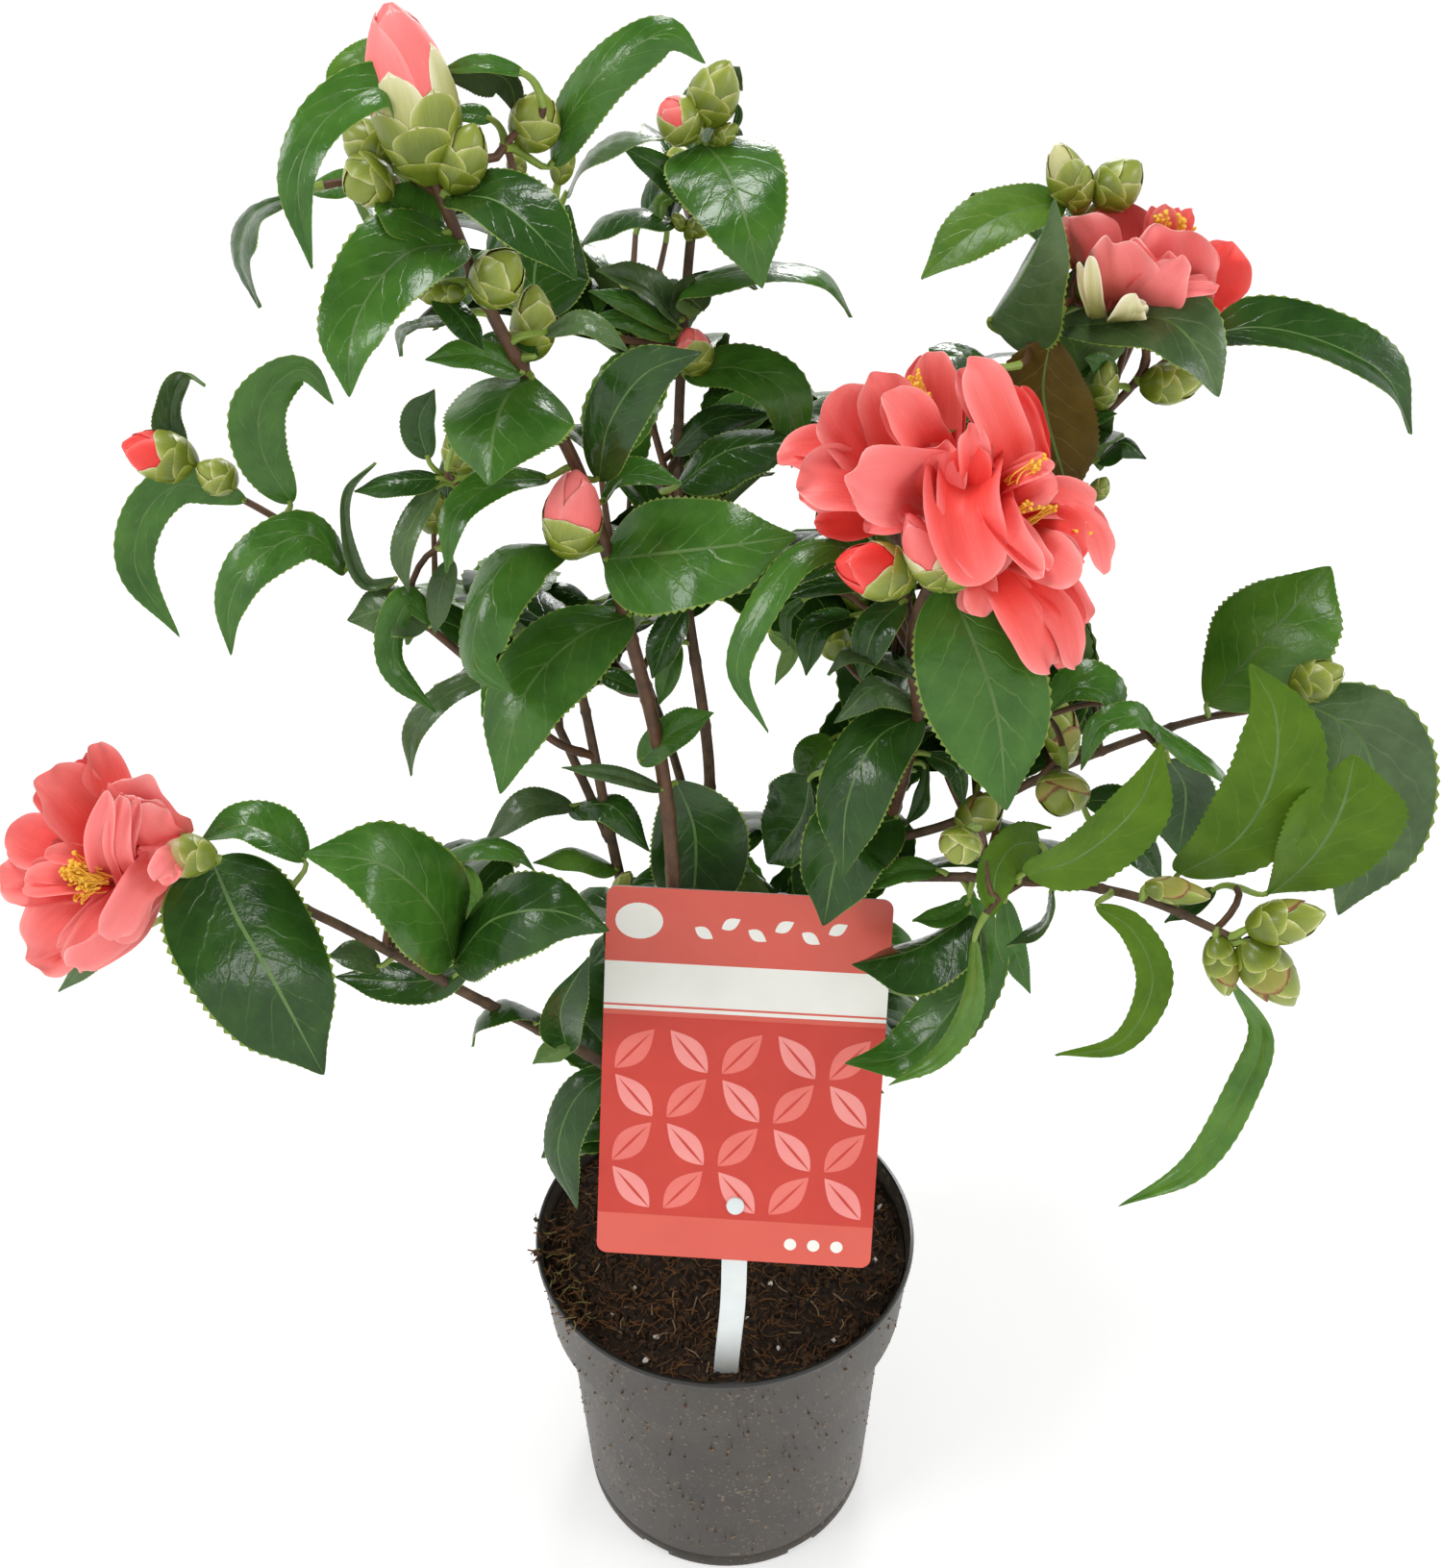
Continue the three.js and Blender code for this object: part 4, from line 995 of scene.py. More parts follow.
# Petals, bloom by bloom: line runs from the calyx to the petal's tip as seen, the rest is as for the leaves.
petalStyle = {
    "rows": 26,
    "thickness": 0.35 * mm,
    "ruffle": 0.15,  # how far the margin waves, as a share of the half width
    "folds": 0.035,
    "twinShift": 13, "twinShorter": 5, "twinBack": 4, "twinNarrower": 0.2,  # the petal behind each one
}
stamenStyle = {"radius": 0.22, "rootSpread": 1.2, "tipSpread": 5, "tipDepth": 1.5, "curve": 3,
               "knob": (0.2, 0.5, 0.6, 0.5, 0.2)}
petalOrder = [*petalFinish, *budFinish]
bloomHeap = newHeap("open_blooms", [*petalFinish.values(), *budFinish.values()])
stamenHeap = newHeap("stamens", [stamenFinish])
calyxHeap = newHeap("calyx_scales", budMaterials)


def petalAt(line, sides, out=(6, 10), **more):
    return {"line": line, "sides": sides, "out": out, **more}


def outerAt(line, sides, out=(6, 10), **more):  # a petal that shows its outer side
    return petalAt(line, sides, out, turned=True, **more)


def petal(heap, path, left, right, at, halfWide, cup=0.25, kinds=("inner", "outer"), base=0.25):
    rows = petalStyle["rows"]
    u = np.sin(np.linspace(0, math.pi / 2, rows)) ** 1.15
    columns = petalColumns
    spine = smoothPath(path, u)
    blunt = dice.uniform(0.62, 0.76)
    late = ((u - blunt) / (1 - blunt)).clip(0)
    shape = np.minimum(base + 1.4 * u, 1) * np.sqrt(np.clip(1 - late**2.4, 0.003, 1))
    width = (shape * halfWide)[:, None] * np.ones(len(columns))
    v = np.abs(columns)[None, :]
    x = columns[None] * shape[:, None]
    phase = dice.uniform(0, 6.28, 3)
    edge = np.maximum(v, late[:, None])
    lift = width * v**2 * cup
    lift = lift + halfWide * petalStyle["ruffle"] * edge**2 * (
        np.sin(7 * u[:, None] + 2.5 * x + phase[0]) + 0.6 * np.sin(8 * x + phase[1])
        + 0.5 * np.sin(15 * u[:, None] + 5 * x + phase[2]))
    lift = lift + halfWide * petalStyle["folds"] * u[:, None] * np.cos(3.2 * math.pi * x + phase[2])
    top, bottom = petalOrder.index(kinds[0]), petalOrder.index(kinds[1])
    blade(heap, spine, left, right, int(at * (rows - 1)), columns, width, [top, bottom], lift,
          petalStyle["thickness"])


def tuftAt(foot, tip, count, out=(12, 16)):  # a tuft of stamens, from where it springs to where it ends
    return {"foot": foot, "tip": tip, "count": count, "out": out}


blooms = {
    "low_left_bloom": {"depth": -67, "petals": [
        petalAt([(150, 880), (122, 830), (98, 773)], (24, 19), (-6, -6), base=0.4),
        petalAt([(146, 885), (104, 838), (68, 796)], (16, 12), (-2, 0)),
        petalAt([(146, 892), (92, 850), (46, 804)], (36, 34), (4, 8), base=0.4),
        petalAt([(140, 900), (60, 884), (6, 866)], (30, 28), (4, 8), base=0.4),
        petalAt([(140, 908), (55, 914), (1, 914)], (28, 32), (8, 10), base=0.4),
        petalAt([(136, 910), (70, 916), (24, 922)], (18, 20), (14, 18), cup=0.5),
        petalAt([(130, 905), (80, 892), (46, 888)], (12, 12), (12, 16), cup=0.6),
        petalAt([(140, 900), (84, 952), (38, 1000)], (38, 32), (10, 14), cup=0.5, base=0.5),
        petalAt([(150, 900), (114, 940), (66, 998)], (12, 9), (16, 22), cup=0.5),
        outerAt([(132, 934), (105, 880), (113, 824)], (16, 13), (18, 22), base=0.6, cup=-0.5),
        outerAt([(146, 936), (122, 880), (128, 828)], (13, 15), (18, 20), base=0.7, cup=-0.4),
        outerAt([(180, 882), (150, 850), (124, 812)], (16, 26), (6, 10), base=0.8),
        outerAt([(178, 886), (150, 872), (128, 838)], (22, 30), (12, 16), base=0.9),
        outerAt([(178, 892), (150, 934), (116, 974), (70, 1003)], (24, 14), (16, 24), base=0.8),
        outerAt([(178, 888), (142, 926), (112, 978)], (24, 16), (20, 24), base=0.9),
        outerAt([(182, 898), (164, 928), (134, 968)], (14, 20), (6, 10), base=0.9, kinds=("inner", "throat")),
        outerAt([(186, 890), (172, 900), (158, 914)], (16, 16), (22, 24), base=0.9),
    ], "stamens": [tuftAt((106, 914), (74, 908), 46, (16, 18)), tuftAt((104, 920), (84, 926), 30, (16, 18)),
                   tuftAt((100, 904), (80, 897), 16, (14, 17))]},
    "centre_left_bloom": {"depth": -50, "petals": [
        petalAt([(968, 520), (974, 430), (971, 365)], (30, 27), (0, 4), base=0.4),
        petalAt([(955, 520), (928, 445), (912, 388)], (32, 30), (4, 6), base=0.4),
        petalAt([(950, 525), (896, 458), (862, 408)], (36, 36), (4, 8), base=0.4),
        petalAt([(920, 510), (856, 474), (808, 480)], (18, 28), (-2, 0), base=0.5),
        petalAt([(940, 520), (876, 500), (829, 501)], (34, 32), (12, 16), base=0.6),
        petalAt([(950, 530), (890, 542), (847, 547)], (20, 20), (0, 2), kinds=("throat", "throat"), base=0.6),
        outerAt([(975, 505), (930, 498), (880, 496)], (42, 42), (26, 32), cup=-0.45, base=0.8),
        petalAt([(970, 530), (932, 542), (898, 548)], (14, 14), (12, 14), base=0.6),
        petalAt([(985, 500), (955, 448), (924, 407)], (24, 26), (18, 22), base=0.4),
        petalAt([(978, 545), (966, 500), (985, 460)], (36, 40), (16, 20), base=0.7),
        petalAt([(965, 520), (988, 455), (996, 408)], (16, 14), (0, 0), kinds=("throat", "throat")),
    ], "stamens": [tuftAt((968, 428), (953, 396), 12, (8, 10)), tuftAt((972, 440), (962, 416), 8, (8, 10))]},
    "centre_right_bloom": {"depth": -58, "petals": [
        petalAt([(1062, 525), (1042, 440), (1011, 374)], (28, 25), (10, 14), base=0.5),
        petalAt([(1092, 520), (1072, 450), (1050, 401)], (12, 14), (-2, -2), kinds=("throat", "outer")),
        petalAt([(1022, 522), (1010, 480), (1008, 440)], (14, 20), (12, 14), base=0.6),
        petalAt([(1030, 512), (1064, 494), (1097, 482)], (10, 10), (14, 14), cup=0.6, base=0.5),
        petalAt([(1030, 540), (1066, 510), (1100, 502)], (20, 24), (8, 10), cup=0.3, base=0.5),
        petalAt([(1030, 545), (1100, 520), (1136, 536)], (24, 22), (6, 8), cup=0.3, base=0.5),
        petalAt([(1040, 552), (1100, 534), (1135, 550), (1153, 597)], (16, 18), (10, 10)),
        petalAt([(1040, 560), (1098, 556), (1128, 580)], (26, 20), (14, 16), kinds=("throat", "outer"),
                base=0.6),
        petalAt([(1046, 562), (1092, 584), (1123, 602)], (28, 28), (22, 28), base=0.6),
        petalAt([(1006, 474), (998, 540), (1022, 607)], (38, 40), (20, 26), cup=0.7, base=0.9),
        petalAt([(1030, 506), (1040, 556), (1082, 604)], (24, 16), (28, 34), cup=0.3, base=0.7),
        petalAt([(1004, 530), (1006, 500), (1014, 462)], (24, 24), (12, 14), kinds=("throat", "outer"),
                base=0.7),
        petalAt([(1010, 575), (1020, 612), (1017, 641)], (18, 18), (8, 10), base=0.6),
        petalAt([(1026, 580), (1064, 636), (1092, 700)], (24, 20), (14, 16), cup=-0.4, base=0.7),
        petalAt([(1050, 585), (1100, 640), (1118, 694)], (18, 16), (10, 12), base=0.6),
        petalAt([(1060, 580), (1112, 612), (1133, 647)], (13, 14), (4, 6), base=0.6),
        petalAt([(1050, 580), (1108, 626), (1122, 668)], (15, 14), (6, 8), kinds=("throat", "outer"),
                base=0.6),
    ], "stamens": [tuftAt((1052, 500), (1077, 480), 10), tuftAt((1044, 540), (1070, 526), 9, (14, 16)),
                   tuftAt((1060, 545), (1092, 530), 8, (12, 14)),
                   tuftAt((1100, 536), (1130, 556), 8, (10, 12))]},
    "upper_right_bloom": {"depth": -10, "petals": [
        outerAt([(1156, 312), (1130, 265), (1112, 226)], (18, 32), (6, 8), base=0.6),
        petalAt([(1165, 315), (1160, 255), (1164, 207)], (44, 42), (-6, -6), base=0.5),
        outerAt([(1200, 326), (1212, 280), (1213, 234)], (46, 50), (16, 20), cup=-0.4, base=0.6),
        outerAt([(1210, 322), (1256, 288), (1287, 256)], (30, 34), (6, 8), cup=-0.4, base=0.6,
                kinds=("inner", "throat")),
        outerAt([(1174, 332), (1166, 296), (1158, 250)], (30, 40), (26, 30), cup=-0.15, base=0.7),
        outerAt([(1186, 332), (1206, 300), (1232, 268)], (30, 26), (26, 29), cup=-0.2, base=0.7),
        outerAt([(1196, 322), (1232, 300), (1268, 298)], (10, 12), (22, 22), base=0.8, cup=-0.3),
        outerAt([(1144, 338), (1137, 302), (1134, 266)], (8, 10), (30, 33), base=0.9, cup=-0.1,
                kinds=("cream", "cream")),
        outerAt([(1170, 338), (1176, 320), (1181, 305)], (20, 17), (31, 32), base=0.9, cup=-0.1,
                kinds=("lime", "cream")),
        petalAt([(1190, 300), (1208, 250), (1212, 213)], (14, 16), (4, 6)),
        petalAt([(1200, 300), (1226, 250), (1240, 217)], (14, 12), (2, 4)),
    ], "stamens": [tuftAt((1204, 250), (1209, 226), 10, (8, 10)),
                   tuftAt((1226, 250), (1231, 232), 8, (8, 10))]},
}
calyxes = [  # foot, tip and half width of the cup of scales under each bloom
    budAt((226, 892), (142, 886), 23, 4, depth=-70), budAt((985, 612), (1000, 556), 25, 6, depth=-66),
    budAt((978, 612), (944, 534), 21, 8, depth=-70), budAt((1156, 348), (1164, 322), 15, 2, depth=-14),
    budAt((930, 528), (924, 478), 22, 2, depth=-46),
]


def growTuft(tuft, depth):  # a filament and an anther for each stamen
    start = inView(*tuft["foot"], (depth - tuft["out"][0]) * mm)
    for _ in range(tuft["count"]):
        x, y = np.array(tuft["tip"]) + dice.normal(0, stamenStyle["tipSpread"], 2)
        end = inView(x, y, (depth - tuft["out"][1] + dice.normal(0, stamenStyle["tipDepth"])) * mm)
        root = start + dice.normal(0, stamenStyle["rootSpread"] * mm, 3)
        run = bend(root, unit(end - root + dice.normal(0, stamenStyle["curve"] * mm, 3)), end,
                   unit(end - root), 6)
        tube(stamenHeap, run, np.full(6, stamenStyle["radius"] * mm), 0, 5)
        knob = end + unit(dice.normal(0, 1, 3)) * np.linspace(-0.8, 0.8, 5)[:, None] * mm
        tube(stamenHeap, knob, np.array(stamenStyle["knob"]) * mm, 0, 6)


def growBlooms():
    for bloom in blooms.values():
        for item in bloom["petals"]:
            for twin in (0, 1):  # each petal seen has another behind it, a little to one side
                line = np.array(item["line"], float)
                along = unit(line[-1] - line[0])
                shift = twin * petalStyle["twinShift"] * (1 if dice.random() < 0.5 else -1)
                shorter = petalStyle["twinShorter"]
                reach = np.linspace(0, 1, len(line))[:, None]
                line += (np.array([-along[1], along[0]]) * shift - along * shorter * twin) * reach
                out = np.array(item["out"]) - petalStyle["twinBack"] * twin
                path = pathInView(line, out, bloom["depth"] * mm)
                sides = np.array(item["sides"]) * (1 - petalStyle["twinNarrower"] * twin)
                left, right, half = halvesInView(path, 0.6, sides, None, item.get("turned"))
                petal(bloomHeap, path, left, right, 0.6, half, item.get("cup", 0.2),
                      item.get("kinds", ("inner", "outer")), item.get("base", 0.25))
        for tuft in bloom["stamens"]:
            growTuft(tuft, bloom["depth"])
    for cup in calyxes:
        foot, tip, radius = standing(cup, cup["depth"] * mm)
        bud(calyxHeap, foot, tip, radius, 10, 0.7, "outer", kinds=("cream", "lime"))
        attach(foot, unit(tip - foot), 1.7 * mm)


growBlooms()
print("buds and blooms grown")

# Shoots that fill the crown behind the facing leaves: a seeded branching rule along the limbs. Leaves that
# would show in the crown's gaps are left out, so the gaps stay open.
fillStyle = {
    "leafEvery": 12 * mm, "length": (56, 84), "width": (25, 36), "rows": 26, "looks": ("mid", "deep", "deep"),
    "shoot": (24, 44), "step": 0.005, "stalk": 8,
    "tries": 2,  # a leaf that would show gets one more try
    "backLimit": 0.156, "tipRoom": 28 * mm,
    "cell": 8,  # of the map of what stands in front, in pixels of the view
    "behind": 3 * mm, "leafHidden": 0.96, "shootHidden": 0.8,
    "budShare": 0.6, "budLong": 17, "budRadius": 6, "budScales": 8, "budBehind": 12 * mm,
    "label": ((618, 922, 928, 1318), -18 * mm),  # where the label is seen, and its depth
}
fillPlan = {  # from where to where on a limb, the number of shoots, and the heap that their leaves join
    "back_left_bough": ((0.4, 1.0), 26, "back_left_bough"),
    "back_middle_bough": ((0.3, 1.0), 34, "back_middle_bough"),
    "back_right_bough": ((0.3, 1.0), 34, "back_right_bough"),
    "low_back_bough": ((0.4, 1.0), 30, "low_back_bough"),
    "crown_back_bough": ((0.2, 1.0), 26, "crown_back_bough"), "left_leader": ((0.3, 0.97), 26, "left_inner"),
    "right_leader": ((0.3, 0.97), 26, "middle"), "left_stem": ((0.5, 1.0), 14, "left_inner"),
    "right_stem": ((0.5, 1.0), 18, "centre_right"), "trunk": ((0.7, 1.0), 6, "low_back_bough"),
    "right_bough": ((0.2, 1.0), 18, "right_outer"), "low_right_bough": ((0.1, 0.8), 14, "low_right"),
    "top_right_bough": ((0.2, 1.0), 18, "upper_right"), "low_left_bough": ((0.1, 0.9), 16, "low_left_inner"),
    "left_bough": ((0.2, 1.0), 14, "left_shoot"), "centre_bloom_bough": ((0.1, 0.9), 10, "centre_right"),
}
fillDice = np.random.default_rng(11)
backBudHeap = newHeap("flower_buds_back", budMaterials)


def closedCells():  # how near the crown's nearest part is in each cell of the view
    cell = fillStyle["cell"]
    (x0, y0, x1, y1), labelY = fillStyle["label"]
    cells = np.full((view["wide"] // cell + 1, view["high"] // cell + 1), np.inf)
    cells[x0 // cell:x1 // cell, y0 // cell:y1 // cell] = labelY
    for heap in [*leafHeaps.values(), bloomHeap, budHeap]:
        points = np.concatenate(heap["verts"])
        middles = [points[faces].mean(axis=1) for faces in heap["faces"] if len(faces)]
        points = np.concatenate([points, *middles])
        np.minimum.at(cells, cellsOf(points), points[:, 1])
    return cells


def cellsOf(points):
    cell = fillStyle["cell"]
    seen, _ = seenAt(points)
    across, down = (seen // cell).astype(int).T
    return across.clip(0, view["wide"] // cell), down.clip(0, view["high"] // cell)


def hiddenShare(points, cells, behind=fillStyle["behind"]):  # the share of points that stand behind something
    points = np.asarray(points)
    return np.mean(points[:, 1] > cells[cellsOf(points)] + behind)


def freeLeaf(heap, foot, way, length, width, look):
    out = unit(way * [1, 1, 0.35] + [0, 0, 0.12])
    out[1] = max(min(out[1], (fillStyle["backLimit"] - foot[1]) / length), -0.9)
    droop = fillDice.uniform(0.12, 0.34)
    path = [foot, foot + out * length * 0.33 + [0, 0, 0.05 * length], foot + out * length * 0.7,
            foot + out * length * 0.95 - [0, 0, droop * length]]
    fine = smoothPath(path, 20)
    heading = headings(fine)[9]
    normal = unit(np.array([0, 0, 1.0]) - heading * heading[2] + fillDice.normal(0, 0.18, 3))
    normal = unit(normal - heading * (normal @ heading))
    side = np.cross(heading, normal)
    fold = fillDice.uniform(0.05, 0.35)
    left = unit(-side + normal * fold)
    right = unit(side + normal * fold)
    return leaf(heap, path, left, right, 0.45, width / 2, fillDice.uniform(0.36, 0.46), look, "pale",
                cup=-0.12, wave=0.07, rows=fillStyle["rows"])


def joinHeap(heap, part):
    for key in ("verts", "maps", "kinds"):
        heap[key] += part[key]
    heap["faces"] += [rows + heap["count"] for rows in part["faces"]]
    heap["count"] += part["count"]


def growShoot(heap, start, way, length, cells):
    tip = start + way * length + np.array([0, 0, 0.12 * length])
    tip[1] = min(tip[1], fillStyle["backLimit"] - fillStyle["tipRoom"])
    path = bend(start, way, tip, unit(way + [0, 0, 0.5]), max(6, int(length / fillStyle["step"])))
    if hiddenShare(path, cells) < fillStyle["shootHidden"]:
        return 0
    run = headings(path)
    count = max(3, int(length / fillStyle["leafEvery"]) + 1)
    turn = fillDice.uniform(0, 6.28)
    looks = fillStyle["looks"]
    grown = last = 0
    for k in range(count + 1):
        i = int((0.25 + 0.75 * k / count) * (len(path) - 1))
        turn += goldenTurn
        side = unit(np.cross(run[i], [0.1, 0.3, 1]))
        other = np.cross(run[i], side)
        for _ in range(fillStyle["tries"]):
            turn += fillDice.uniform(0, 0.8)
            splay = unit(side * math.cos(turn) + other * math.sin(turn) + run[i] * (0.5 if k < count else 2))
            foot = path[i] + splay * fillStyle["stalk"] * mm
            part = newHeap("leaf", leafMaterials)
            rib = freeLeaf(part, foot, splay, fillDice.uniform(*fillStyle["length"]) * mm,
                           fillDice.uniform(*fillStyle["width"]) * mm,
                           looks[int(fillDice.integers(len(looks)))])
            if hiddenShare(np.concatenate(part["verts"]), cells) > fillStyle["leafHidden"]:
                joinHeap(heap, part)
                stalk = bend(path[i], unit(splay + run[i] * 0.4), foot + splay * mm, unit(rib[1] - rib[0]), 6)
                tube(twigHeap, stalk, np.linspace(1.2, 0.85, 6) * mm, 1, 7)
                grown += 1
                last = i + 1
                break
    if grown:
        tube(twigHeap, path[:last], np.linspace(1.5, 1.0, last) * mm, 0, 8)
        budTip = tip + unit(run[-1] + [0, 0, 0.4]) * fillStyle["budLong"] * mm
        hidden = hiddenShare([tip, budTip], cells, fillStyle["budBehind"]) == 1
        if last == len(path) and fillDice.random() < fillStyle["budShare"] and hidden:
            bud(backBudHeap, tip, budTip, fillStyle["budRadius"] * mm, fillStyle["budScales"])
    return grown


def growBehind():
    cells = closedCells()
    grown = 0
    for limb, ((low, high), shootCount, mass) in fillPlan.items():
        heap = leafHeaps.setdefault(mass, newHeap("leaves_" + mass.replace("_bough", ""), leafMaterials))
        run = smoothPath(np.array(limbs[limb]["path"]) * mm, 60)
        ways = headings(run)
        for k in range(shootCount):
            at = low + (high - low) * (k + 0.5) / shootCount
            i = int(at * 59)
            way = unit(fillDice.normal(0, 0.75, 3) + [0, 0.8, 0.35] + 0.5 * ways[i])
            grown += growShoot(heap, run[i], way, fillDice.uniform(*fillStyle["shoot"]) * mm, cells)
    return grown


print("back of the crown grown, leaves:", growBehind())

massesOf = {  # the solids that a heap of leaves stands in for, where they aren't the one of its own name
    "low_left": ["low_left_outer"], "low_left_inner": ["low_left_inner", "base_leaf"],
    "centre_right": ["centre_right", "inner_right"], "upper_right": ["upper_right", "upper_right_spur"],
    "low_right": ["low_right", "low_right_hang"], "back_left_bough": ["left_back"],
    "back_middle_bough": ["middle_back"], "back_right_bough": ["right_back", "right_back_low"],
    "low_back_bough": ["low_back"], "crown_back_bough": ["crown_back"],
}
for shoot, heap in leafHeaps.items():
    pour(heap, massesOf.get(shoot, [shoot]), crease=70)
pour(twigHeap)
pour(budHeap, crease=70)
pour(backBudHeap, crease=70)
pour(wrapHeap, crease=70)
pour(openingHeap, ["opening_bud"], crease=70)
pour(bloomHeap, list(blooms), crease=80)
pour(stamenHeap)
pour(calyxHeap, crease=70)
print("leaves poured")

# Pot: injection-moulded dark grey polypropylene, matt, dusted with dry compost.
pot = {
    "sides": 96,
    "outline": [  # radius and height, from the edge of the foot up, over the lip and down the inside
        (67.2, 0), (68, 0.8), (68.5, 7), (67.9, 8), (68.6, 9), (73.9, 111), (74.4, 112), (80.6, 112.6),
        (81, 113.4), (83.8, 146.2), (84.6, 147.2), (85, 148), (85, 149.2), (84.4, 150), (83.4, 150),
        (82.9, 149.2), (79.1, 114.2), (78.6, 113.4), (72.6, 112.2), (72.2, 111), (66.8, 4), (65.5, 2.5),
    ],
    "drainHoles": 6, "holeRadius": 4.5, "holeCircle": 48, "drill": 12,
    "notch": (14, 14, 6), "notchCircle": 68,
    "lipAbove": 146.4,  # above this the wall has the lip's finish
}


def drawnUp(name, outline, sides):  # a disc drawn up ring by ring
    bpy.ops.object.select_all(action="DESELECT")
    radius, height = outline[0]
    bpy.ops.mesh.primitive_circle_add(vertices=sides, radius=radius * mm, fill_type="NGON",
                                      location=(0, 0, height * mm))
    piece = bpy.context.object
    piece.name = name
    bpy.ops.object.transform_apply(location=True, rotation=True, scale=True)
    bpy.ops.object.mode_set(mode="EDIT")
    bpy.ops.mesh.select_all(action="SELECT")
    for nextRadius, nextHeight in outline[1:]:
        bpy.ops.mesh.extrude_region_move(TRANSFORM_OT_translate={"value": (0, 0, (nextHeight - height) * mm)})
        bpy.ops.transform.resize(value=(nextRadius / radius, nextRadius / radius, 1))
        radius, height = nextRadius, nextHeight
    bpy.ops.mesh.select_all(action="SELECT")
    bpy.ops.mesh.normals_make_consistent(inside=False)
    bpy.ops.object.mode_set(mode="OBJECT")
    return piece


def cutOut(piece, cutters):
    for cutter in cutters:
        alone(piece)
        cut = piece.modifiers.new("cut", "BOOLEAN")
        cut.operation = "DIFFERENCE"
        cut.solver = "EXACT"
        cut.object = cutter
        bpy.ops.object.modifier_apply(modifier=cut.name)
        bpy.data.objects.remove(cutter, do_unlink=True)


def makePot():
    piece = drawnUp("nursery_pot", pot["outline"], pot["sides"])
    cutters = []
    for k in range(pot["drainHoles"]):
        angle = (k + 0.5) / pot["drainHoles"] * 2 * math.pi
        spot = (pot["holeCircle"] * mm * math.cos(angle), pot["holeCircle"] * mm * math.sin(angle), 0)
        bpy.ops.mesh.primitive_cylinder_add(vertices=24, radius=pot["holeRadius"] * mm,
                                            depth=pot["drill"] * mm, location=spot)
        cutters.append(bpy.context.object)
        angle += math.pi / pot["drainHoles"]
        spot = (pot["notchCircle"] * mm * math.cos(angle), pot["notchCircle"] * mm * math.sin(angle), 0)
        bpy.ops.mesh.primitive_cube_add(size=1, location=spot, rotation=(0, 0, angle),
                                        scale=[s * mm for s in pot["notch"]])
        cutters.append(bpy.context.object)
    cutOut(piece, cutters)
    piece.data.materials.append(potPlastic)
    piece.data.materials.append(potLip)
    for face in piece.data.polygons:
        face.material_index = int(face.center.z > pot["lipAbove"] * mm)
    place(piece, ["pot"], 40)


def dusted(material, dust, speck, drift, cover):
    # Dry specks on top of a finish: speck is one speck's size in mm, and drift that of the places with more.
    tree = material.node_tree
    shader = tree.nodes["Principled BSDF"]
    coords = addNode(tree, "ShaderNodeTexCoord").outputs["Object"]
    grains, drifts = (addNode(tree, "ShaderNodeTexNoise", {"Scale": 1 / (size * mm), "Detail": detail},
                              {"Vector": coords}).outputs["Fac"] for size, detail in ((speck, 2), (drift, 3)))
    amount = maths(tree, "ADD", grains, maths(tree, "MULTIPLY_ADD", drifts, 0.3, -0.15))
    mask = addNode(tree, "ShaderNodeMapRange", {"From Min": cover, "From Max": cover + 0.05, "To Max": 0.6},
                   {"Value": amount}).outputs["Result"]
    mix = addNode(tree, "ShaderNodeMixRGB", {"Color2": linear(dust)},
                  {"Fac": mask, "Color1": shader.inputs["Base Color"].links[0].from_socket})
    tree.links.new(mix.outputs["Color"], shader.inputs["Base Color"])
    return material


potPlastic = dusted(
    mottled("moulded_polypropylene_dark_grey", "#28231d", "#41392f", patch=26, grain=0.9, depth=0.12,
            Roughness=0.45, Specular_IOR_Level=0.45),
    dust="#86735a", speck=2.0, drift=40, cover=0.63)
# The lip is rubbed smooth and darker than the dusty wall.
potLip = mottled("polypropylene_rubbed_lip", "#151413", "#262321", patch=18, grain=0.9, depth=0.05,
                 Roughness=0.26)
makePot()

# Compost: moist peat, dark brown and crumbly, with fibres and white perlite.
compostFinish = [
    mottled("moist_peat", "#1a1008", "#3a2717", patch=3, grain=1.2, depth=0.8, Roughness=0.95),
    mottled("peat_crumb", "#281a0e", "#543a22", patch=3, grain=1.2, depth=0.6, Roughness=0.95),
    mottled("perlite", "#cfcac0", "#f2efe8", patch=2, grain=1, depth=0.3, Roughness=0.8),
    mottled("dry_root", "#7a6248", "#a68d6c", patch=4, grain=1, depth=0.2, Roughness=0.8),
    mottled("coir_fibre", "#4a2c14", "#7c5228", patch=4, grain=1, depth=0.2, Roughness=0.9),
    mottled("dry_moss", "#6a5c30", "#94854c", patch=3, grain=1, depth=0.4, Roughness=0.9),
]
compost = {
    "level": 139.5, "radius": 81.2, "rings": 46, "spokes": 150, "skirt": 12,
    "crumbs": 5200, "coir": 1500, "perlite": 30, "roots": 60,
    "spilled": 80, "spillFrom": (176, 222), "spillReach": (70, 86),  # degrees round the rim, and mm out
    "specks": 420, "speckFrom": (170, 370), "speckHeight": (12, 146),
}


def groundAt(x, y):  # the compost's uneven height at a place
    r = np.hypot(x, y) / (compost["radius"] * mm)
    heave = (np.sin(130 * x + 1) * np.cos(150 * y) + 0.7 * np.sin(260 * x - 210 * y + 2)
             + 0.5 * np.sin(420 * y + 330 * x))
    return (compost["level"] + 1.2 * (1 - r**2)) * mm + 0.7 * mm * heave


